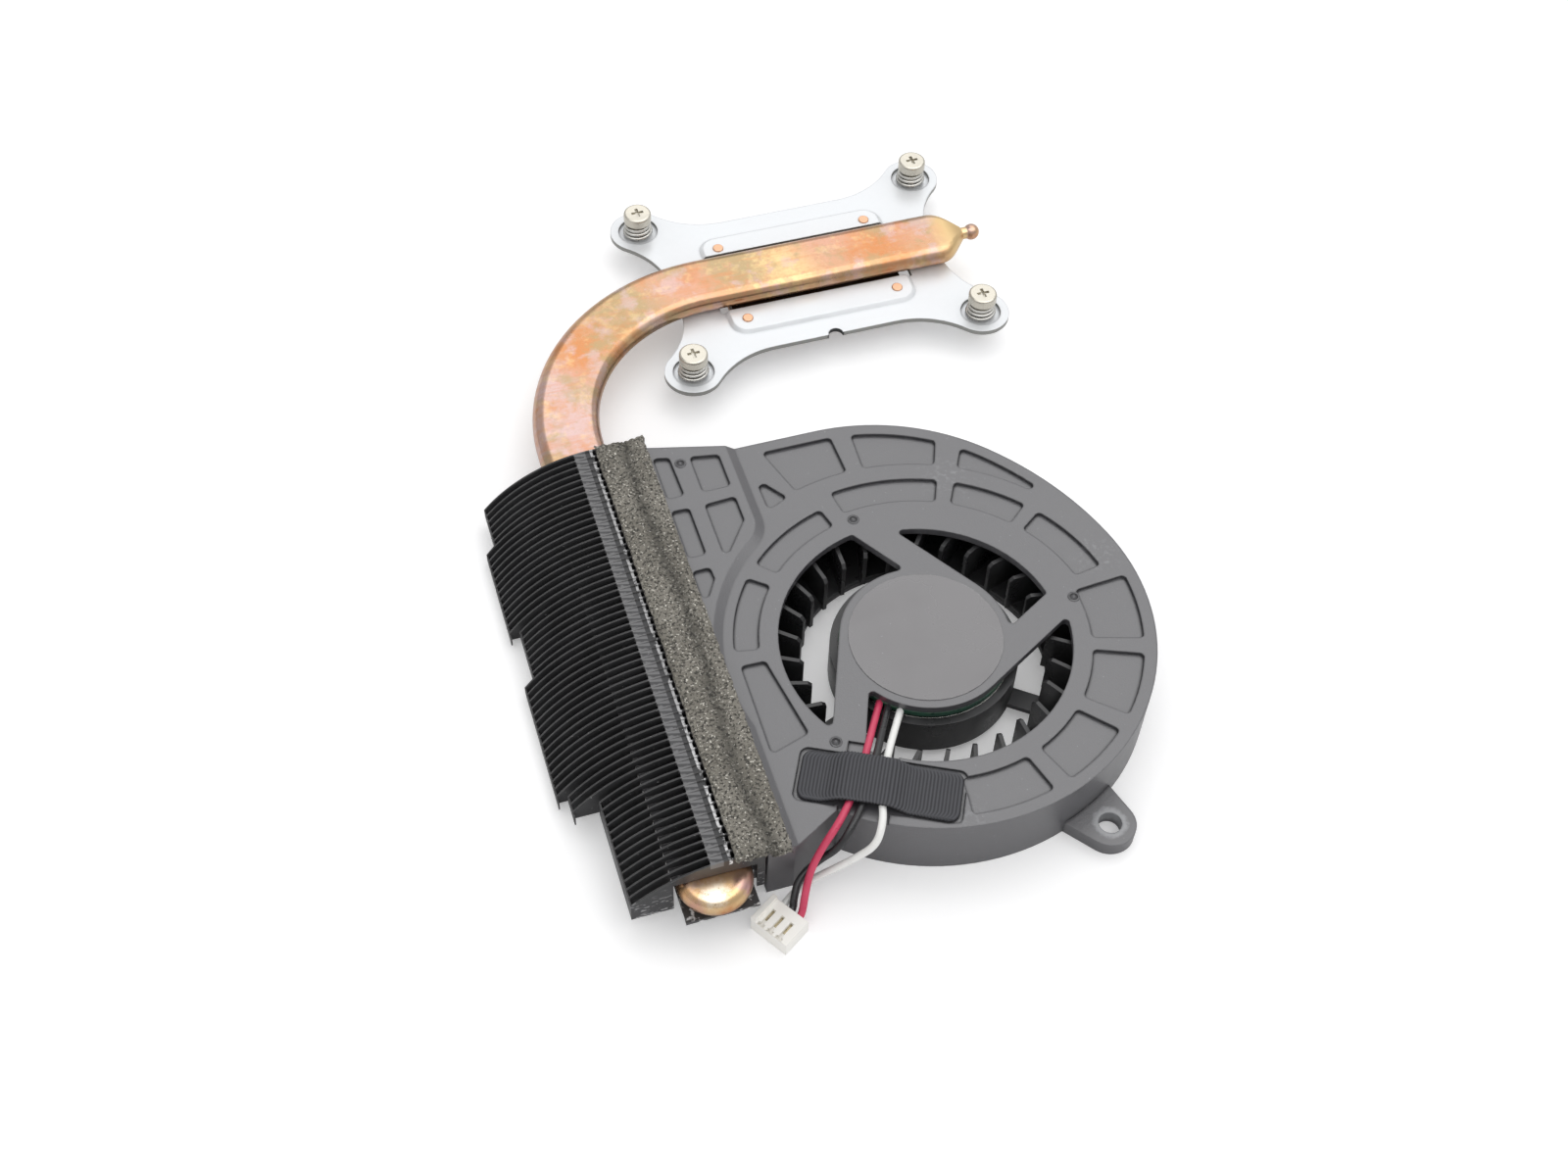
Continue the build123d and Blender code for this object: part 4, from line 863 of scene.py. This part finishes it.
@dataclass
class Photographer:
    """Floor, light and the camera at the photograph's angle. Lengths in metres, angles in degrees.

    In gloss the sky is brighter behind and overhead. Its rises and falls are parts of a direction.
    """

    place: Place = (-0.082548, -0.226368, 0.228677)
    azimuth: float = 19.688
    elevation: float = 52.407
    roll: float = -2.542
    focal_px: float = 1997.55
    frame_px: float = 1600.0
    sensor_mm: float = 36.0
    clip_start: float = 0.01
    floor_size: float = 3.0
    floor_gap: float = 0.00002
    floor_colour: Colour = (0.90, 0.90, 0.905)
    floor_roughness: float = 0.9
    floor_specular: float = 0.1
    floor_lift: float = 0.23
    ambient: float = 0.85
    gloss_low: float = 0.6
    gloss_back: float = 0.72
    gloss_top: float = 1.7
    back_aim: Span = (0.35, 0.85)
    back_rise: Span = (0.36, 0.62)
    top_rise: Span = (0.68, 0.78)
    top_fall: Span = (0.30, 0.05)
    lamps: tuple[Lamp, ...] = (Lamp("back_lamp", (0.25, 0.48, 0.80), 0.8, 2.2),
                               Lamp("side_lamp", (0.6, -0.2, 0.7), 0.8, 0.8))
    lamp_aim: Place = (-0.01, -0.05, 0.0)

    def build(self) -> None:
        """Set up the whole stage."""
        bpy.context.scene.view_settings.view_transform = "Standard"
        self.add_camera()
        self.add_floor()
        self.add_world()
        self.add_lamps()

    def add_camera(self) -> None:
        """Place the camera where the photograph was taken."""
        azimuth, elevation, roll = map(math.radians, (self.azimuth, self.elevation, self.roll))
        flat = math.cos(elevation)
        forward = Vector((flat * math.sin(azimuth), flat * math.cos(azimuth), -math.sin(elevation)))
        level = Vector((math.cos(azimuth), -math.sin(azimuth), 0.0))
        down = forward.cross(level)
        right = math.cos(roll) * level + math.sin(roll) * down
        up = math.sin(roll) * level - math.cos(roll) * down
        bpy.ops.object.camera_add()
        camera = bpy.context.object
        camera.data.sensor_width = self.sensor_mm
        camera.data.lens = self.focal_px / self.frame_px * self.sensor_mm
        camera.data.clip_start = self.clip_start
        turn = Matrix((right, up, -forward)).transposed().to_4x4()
        camera.matrix_world = Matrix.Translation(self.place) @ turn
        bpy.context.scene.camera = camera

    def add_floor(self) -> None:
        """Lay a pale floor under the lowest point of the part."""
        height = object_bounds()[0][Z] - self.floor_gap
        deselect_all()
        bpy.ops.mesh.primitive_plane_add(size=self.floor_size, location=(0.0, 0.0, height))
        floor = bpy.context.object
        floor.name = "floor"
        material = bpy.data.materials.new("pale_floor")
        material.use_nodes = True
        shader = material.node_tree.nodes["Principled BSDF"]
        tree = ShaderTree(material.node_tree)
        seen = tree.add("LightPath").outputs[Ray.CAMERA.value]
        tree.feed(shader, {
            "Base Color": (*self.floor_colour, 1.0), "Roughness": self.floor_roughness,
            "Specular IOR Level": self.floor_specular, "Emission Color": WHITE,
            "Emission Strength": tree.times(seen, self.floor_lift)})
        floor.data.materials.append(material)
        floor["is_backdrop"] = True

    def add_world(self) -> None:
        """Fill the scene with even light, white to the camera, with brighter areas in gloss."""
        world = bpy.data.worlds.new("studio")
        bpy.context.scene.world = world
        world.use_nodes = True
        tree = ShaderTree(world.node_tree)
        sky = world.node_tree.nodes["Background"]
        rays = tree.add("LightPath")
        axes = tree.add("SeparateXYZ", {0: tree.add("TexCoord").outputs["Generated"]})
        toward = tree.math("ADD", tree.times(axes.outputs[Y], self.back_aim[Y]),
                           tree.times(axes.outputs[X], self.back_aim[X]))
        behind = tree.ramp(toward, *self.back_rise, self.gloss_low, self.gloss_back)
        overhead = tree.times(tree.ramp(axes.outputs[Z], *self.top_rise, high=self.gloss_top),
                              tree.ramp(axes.outputs[Y], *self.top_fall))
        gloss = tree.math("ADD", behind, overhead)
        shiny = tree.math("MAXIMUM", rays.outputs[Ray.GLOSSY.value],
                          rays.outputs[Ray.TRANSMISSION.value])
        level = tree.add("Mix", {"Factor": shiny, "A": self.ambient, "B": gloss})
        seen = tree.add("Mix", {"Factor": rays.outputs[Ray.CAMERA.value], "A": level.outputs[0],
                                "B": 1.0})
        tree.feed(sky, {"Strength": seen.outputs[0], "Color": WHITE})

    def add_lamps(self) -> None:
        """Hang a broad soft lamp behind and a weaker one to the right."""
        for lamp in self.lamps:
            bpy.ops.object.light_add(type="AREA", location=lamp.place)
            light = bpy.context.object
            light.name = lamp.name
            light.data.size = lamp.size
            light.data.energy = lamp.power
            aim = Vector(self.lamp_aim) - Vector(lamp.place)
            light.rotation_euler = aim.to_track_quat("-Z", "Y").to_euler()


@dataclass(frozen=True)
class Wire:
    """One wire: its colour, and its length and the points of its route in millimetres."""

    colour: str
    length: float
    route: tuple[Place, ...]


@dataclass
class Wiring:
    """Three limp wires from the motor board, under the tape, to the plug. Lengths in millimetres."""

    diameter: float = 1.05
    curve_order: int = 3
    steps_along: int = 8
    steps_round: int = 4
    wires: tuple[Wire, ...] = (
        Wire("red", 36.9, (
            (-18.2, -87.7, 5.9), (-20.4, -91.3, 6.8), (-22.7, -95.3, 7.8), (-25.1, -99.0, 7.85),
            (-27.7, -102.7, 8.0), (-30.5, -105.7, 7.9), (-32.8, -106.9, 5.6), (-35.0, -108.6, 3.4),
            (-36.4, -110.8, 1.2), (-37.3, -112.55, -1.1), (-38.7, -113.45, -1.2))),
        Wire("black", 37.2, (
            (-17.3, -88.7, 5.9), (-19.4, -92.3, 6.8), (-21.6, -96.2, 7.8), (-23.9, -99.9, 7.85),
            (-26.2, -103.5, 7.95), (-28.6, -106.2, 7.7), (-30.8, -107.6, 5.3), (-33.6, -107.3, 2.9),
            (-36.5, -108.4, 1.5), (-37.7, -110.2, 0.0), (-38.1, -111.3, -1.15),
            (-39.5, -112.2, -1.2))),
        Wire("white", 39.5, (
            (-15.9, -89.75, 5.9), (-18.0, -93.1, 6.8), (-20.3, -96.8, 7.8), (-22.3, -100.5, 7.85),
            (-23.7, -104.0, 8.0), (-24.7, -107.1, 8.1), (-26.2, -109.1, 6.2), (-28.8, -108.9, 4.0),
            (-31.7, -108.6, 2.0), (-34.6, -108.3, 0.2), (-37.2, -108.9, -0.9),
            (-38.9, -110.05, -1.2), (-40.3, -110.95, -1.2))))

    def build(self, finishes: Finishes) -> None:
        for wire in self.wires:
            piece = self.draw(f"{wire.colour}_wire", wire.route)
            finishes.hand_over(piece, f"{wire.colour}_sleeve", f"wire_{wire.colour}")
            tuple(x * MM for x in wire.route[0])

    def draw(self, name: str, route: tuple[Place, ...]) -> Piece:
        """Return a round curve along a route's points."""
        curve = bpy.data.curves.new(name, "CURVE")
        curve.dimensions = "3D"
        spline = curve.splines.new("NURBS")
        spline.points.add(len(route) - 1)
        for point, place in zip(spline.points, route):
            point.co = (*(x * MM for x in place), 1.0)
        spline.order_u = self.curve_order
        spline.use_endpoint_u = True
        spline.resolution_u = self.steps_along
        curve.bevel_depth = self.diameter * MM / 2
        curve.bevel_resolution = self.steps_round
        curve.use_fill_caps = True
        return add_piece(name, curve)


@dataclass
class ClothTape:
    """Ribbed tape that lies in its pocket and bulges over the wires. Lengths in millimetres."""

    RIB_MARK: ClassVar[str] = "rib"
    length: float = 21.5
    width: float = 7.3
    thickness: float = 0.35
    corner: float = 1.3
    turn: float = -27.0
    bulge_middle: float = -1.7
    bulge_half: float = 2.7
    bulge_slope: float = 3.4
    bulge_height: float = 1.25
    rib_count: int = 45
    rib_height: float = 0.14
    crest_power: float = 1.5
    ripple: float = 0.05
    ripple_scale: float = 0.5
    lift: float = 0.05
    steps_per_rib: int = 6
    steps_across: int = 28

    def build(self, finishes: Finishes) -> None:
        """Shape the tape from a grid and finish it."""
        deselect_all()
        bpy.ops.mesh.primitive_grid_add(x_subdivisions=self.rib_count * self.steps_per_rib,
                                        y_subdivisions=self.steps_across, size=1.0)
        tape = bpy.context.object
        tape.name = "ribbed_tape"
        mark = tape.data.attributes.new(self.RIB_MARK, "FLOAT", "POINT")
        for vertex in tape.data.vertices:
            along, across = vertex.co.x * self.length, vertex.co.y * self.width
            mark.data[vertex.index].value = max(0.0, self.rib(along)) ** self.crest_power
            vertex.co = self.drape(along, across)
        turn = Matrix.Rotation(math.radians(self.turn), 4, "Z")
        tape.matrix_world = Matrix.Translation(foot_of("cloth_tape")) @ turn
        settle(tape)
        apply_modifier(tape, "SOLIDIFY", thickness=self.thickness * MM, offset=1.0)
        smooth(tape, SOFT_ANGLE)
        finishes.hand_over(tape, "black_cloth", "cloth_tape")

    def rib(self, along: float) -> float:
        """Return the height of the weave from -1 in a groove to 1 on a rib."""
        return math.cos(2.0 * math.pi * self.rib_count * along / self.length)

    def drape(self, along: float, across: float) -> Vector:
        """Return where a point of the flat tape lies, in metres about the tape's middle."""
        rib = self.rib(along)
        spare = self.corner - (self.width / 2 - abs(across))
        if spare > 0:
            inset = self.corner - math.sqrt(max(0.0, self.corner**2 - spare**2))
            along *= 1.0 - inset / (self.length / 2)
        away = (abs(along - self.bulge_middle) - self.bulge_half) / self.bulge_slope
        rise = 1.0 - min(1.0, max(0.0, away))
        rise = rise * rise * (3.0 - 2.0 * rise)
        height = self.bulge_height * rise + self.rib_height * (0.5 + 0.5 * rib)
        spot = Vector((along * self.ripple_scale, across * self.ripple_scale, 0.0))
        height += self.ripple * noise.noise(spot)
        return Vector((along, across, height + self.lift)) * MM


@dataclass
class ScrewSpring:
    """A small conical spring under a screw's head. Lengths in millimetres."""

    wire: float = 0.5
    turns: float = 3.5
    steps: int = 24
    sides: int = 10
    top_radius: float = 1.85
    cone: float = 0.5
    press: float = 1.2

    def build(self, finishes: Finishes) -> None:
        """Wind one spring and give each screw a copy."""
        low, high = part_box("screw_spring_1")
        pattern = self.wind(high[Z] - low[Z] - self.wire * MM)
        for number in range(1, SCREW_COUNT + 1):
            low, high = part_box(f"screw_spring_{number}")
            middle = foot_of(f"spring_screw_{number}")
            middle.z = low[Z] + self.wire * MM / 2
            spring = add_copy(pattern, f"wound_spring_{number}", middle)
            finishes.hand_over(spring, "steel", f"screw_spring_{number}")
            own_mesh(spring)
        bpy.data.objects.remove(pattern)

    def wind(self, rise: float) -> Piece:
        """Return a spring about the Z axis whose wire rises from the origin, in metres."""
        deselect_all()
        bpy.ops.mesh.primitive_circle_add(vertices=self.sides, radius=self.wire * MM / 2,
                                          location=(self.top_radius * MM, 0.0, 0.0),
                                          rotation=(math.pi / 2, 0.0, 0.0))
        spring = bpy.context.object
        settle(spring)
        steps = round(self.steps * self.turns)
        apply_modifier(spring, "SCREW", angle=2.0 * math.pi * self.turns, screw_offset=rise,
                       steps=steps, render_steps=steps, axis="Z", use_merge_vertices=False)
        for vertex in spring.data.vertices:
            out = Vector((vertex.co.x, vertex.co.y, 0.0))
            share = 1.0 - min(1.0, max(0.0, vertex.co.z / rise))
            vertex.co += out.normalized() * self.cone * MM * share
        self.close_ends(spring)
        smooth(spring, SOFT_ANGLE)
        return spring

    @staticmethod
    def close_ends(spring: Piece) -> None:
        """Fill both cut ends of the wire and turn every face outwards."""
        with editing(spring):
            bpy.ops.mesh.select_all(action="DESELECT")
            bpy.ops.mesh.select_non_manifold()
            bpy.ops.mesh.edge_face_add()
            bpy.ops.mesh.select_all(action="SELECT")
            bpy.ops.mesh.normals_make_consistent(inside=False)


@dataclass
class FoamStrip:
    """Soft open-cell strip over the joint of fins and duct. Lengths in millimetres.

    Roughness is noise at two sizes: how many swings fit in a millimetre, and its weight.
    """

    cell: float = 0.3
    ragged: float = 0.2
    frayed: float = 0.5
    fray_reach: float = 1.5
    fine: Span = (2.1, 0.7)
    coarse: Span = (0.6, 0.5)
    crease_in: float = 3.0
    crease_depth: float = 0.35
    crease_half: float = 1.1
    crease_wander: Span = (0.08, 0.5)
    seed: int = 7

    def build(self, finishes: Finishes) -> None:
        """Roughen a fine copy of the solid strip, the same way in every run."""
        noise.seed_set(self.seed)
        foam = carry_over("foam_seal", "foam_strip")
        apply_modifier(foam, "REMESH", mode="VOXEL", voxel_size=self.cell * MM)
        low, high = ([x / MM for x in corner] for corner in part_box("foam_seal"))
        for vertex in foam.data.vertices:
            vertex.co = self.roughen(vertex.co / MM, low, high) * MM
        smooth(foam, SOFT_ANGLE)
        finishes.hand_over(foam, "grey_foam", "foam_seal")

    def roughen(self, place: Vector, low: list[float], high: list[float]) -> Vector:
        """Return where a point of the smooth strip, between two corners, lies in the torn foam."""
        end = min(place.y - low[Y], high[Y] - place.y)
        fray = self.frayed * max(0.0, 1.0 - end / self.fray_reach)
        push = Vector(ORIGIN)
        for scale, weight in (self.fine, self.coarse):
            push += noise.noise_vector(place * scale) * weight
        moved = place + push * (self.ragged + fray)
        top = max(0.0, (place.z - low[Z]) / (high[Z] - low[Z]))
        scale, weight = self.crease_wander
        wander = weight * noise.noise(Vector((0.0, place.y * scale, 0.0)))
        off = (place.x - high[X] + self.crease_in + wander) / self.crease_half
        moved.z -= self.crease_depth * top * math.exp(-off * off)
        return Vector((moved.x, moved.y, min(moved.z, high[Z])))


@dataclass
class GateMark:
    """A small moulded ring on the cover where the plastic was let in. Lengths in millimetres."""

    radius: float = 0.88
    sides: int = 24
    height: float = 0.07
    rim: float = 0.28
    depth: float = 0.05
    rounding: float = 0.04
    rounding_steps: int = 2

    def build(self, feet: list[Vector], finishes: Finishes) -> None:
        """Shape one mark and stand a copy on the cover at each foot, in metres."""
        pattern = self.shape()
        for number, foot in enumerate(feet, start=1):
            mark = add_copy(pattern, f"gate_mark_{number}", foot)
            finishes.hand_over(mark, "dark_plastic")
        bpy.data.objects.remove(pattern)

    def shape(self) -> Piece:
        """Return a mark that stands on the origin, shaped from a low cylinder."""
        deselect_all()
        bpy.ops.mesh.primitive_cylinder_add(vertices=self.sides, radius=self.radius * MM,
                                            depth=self.height * MM,
                                            location=(0.0, 0.0, self.height * MM / 2))
        mark = bpy.context.object
        settle(mark)
        with editing(mark):
            bpy.ops.mesh.select_all(action="DESELECT")
        max(mark.data.polygons, key=lambda face: face.center.z).select = True
        with editing(mark):
            bpy.ops.mesh.select_mode(type="FACE")
            bpy.ops.mesh.inset(thickness=self.rim * MM)
            sink = {"value": (0.0, 0.0, -self.depth * MM)}
            bpy.ops.mesh.extrude_region_move(TRANSFORM_OT_translate=sink)
        apply_modifier(mark, "BEVEL", width=self.rounding * MM, segments=self.rounding_steps,
                       limit_method="ANGLE")
        smooth(mark)
        return mark


@dataclass
class Cooler:
    """The whole part: its CAD nodes dressed, and the pieces that stand for some of them.

    Gate marks are given from the foot of the hub's label, in millimetres.
    """

    finishes: Finishes
    marks: tuple[Place, ...] = (
        (-2.9, 22.9, 0.0), (22.7, 0.5, 0.0), (-17.7, -13.1, 0.0), (-24.4, 39.8, 0.8))

    def dress_nodes(self, record: dict) -> None:
        """Give each CAD node the finish of its slot."""
        for part in record["subparts"]:
            node = bpy.data.objects[part["node"]]
            dress(node, self.finishes.of(part["material_slot"]))
            LOG.info("node %s: %s", part["node"], part["material_slot"])

    def build(self) -> None:
        """Build the pieces in order."""
        Wiring().build(self.finishes)
        ClothTape().build(self.finishes)
        FoamStrip().build(self.finishes)
        ScrewSpring().build(self.finishes)
        hub = foot_of("hub_label")
        GateMark().build([hub + Vector(mark) * MM for mark in self.marks], self.finishes)


def main() -> None:
    """Load the frame, dress it and set the stage."""
    logging.basicConfig(level=logging.INFO, format="%(message)s")
    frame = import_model()
    deselect_all()
    cooler = Cooler(Finishes(SharedEffects()))
    cooler.dress_nodes(frame["record"])
    Photographer().build()
    cooler.build()


if __name__ == "__main__":
    main()
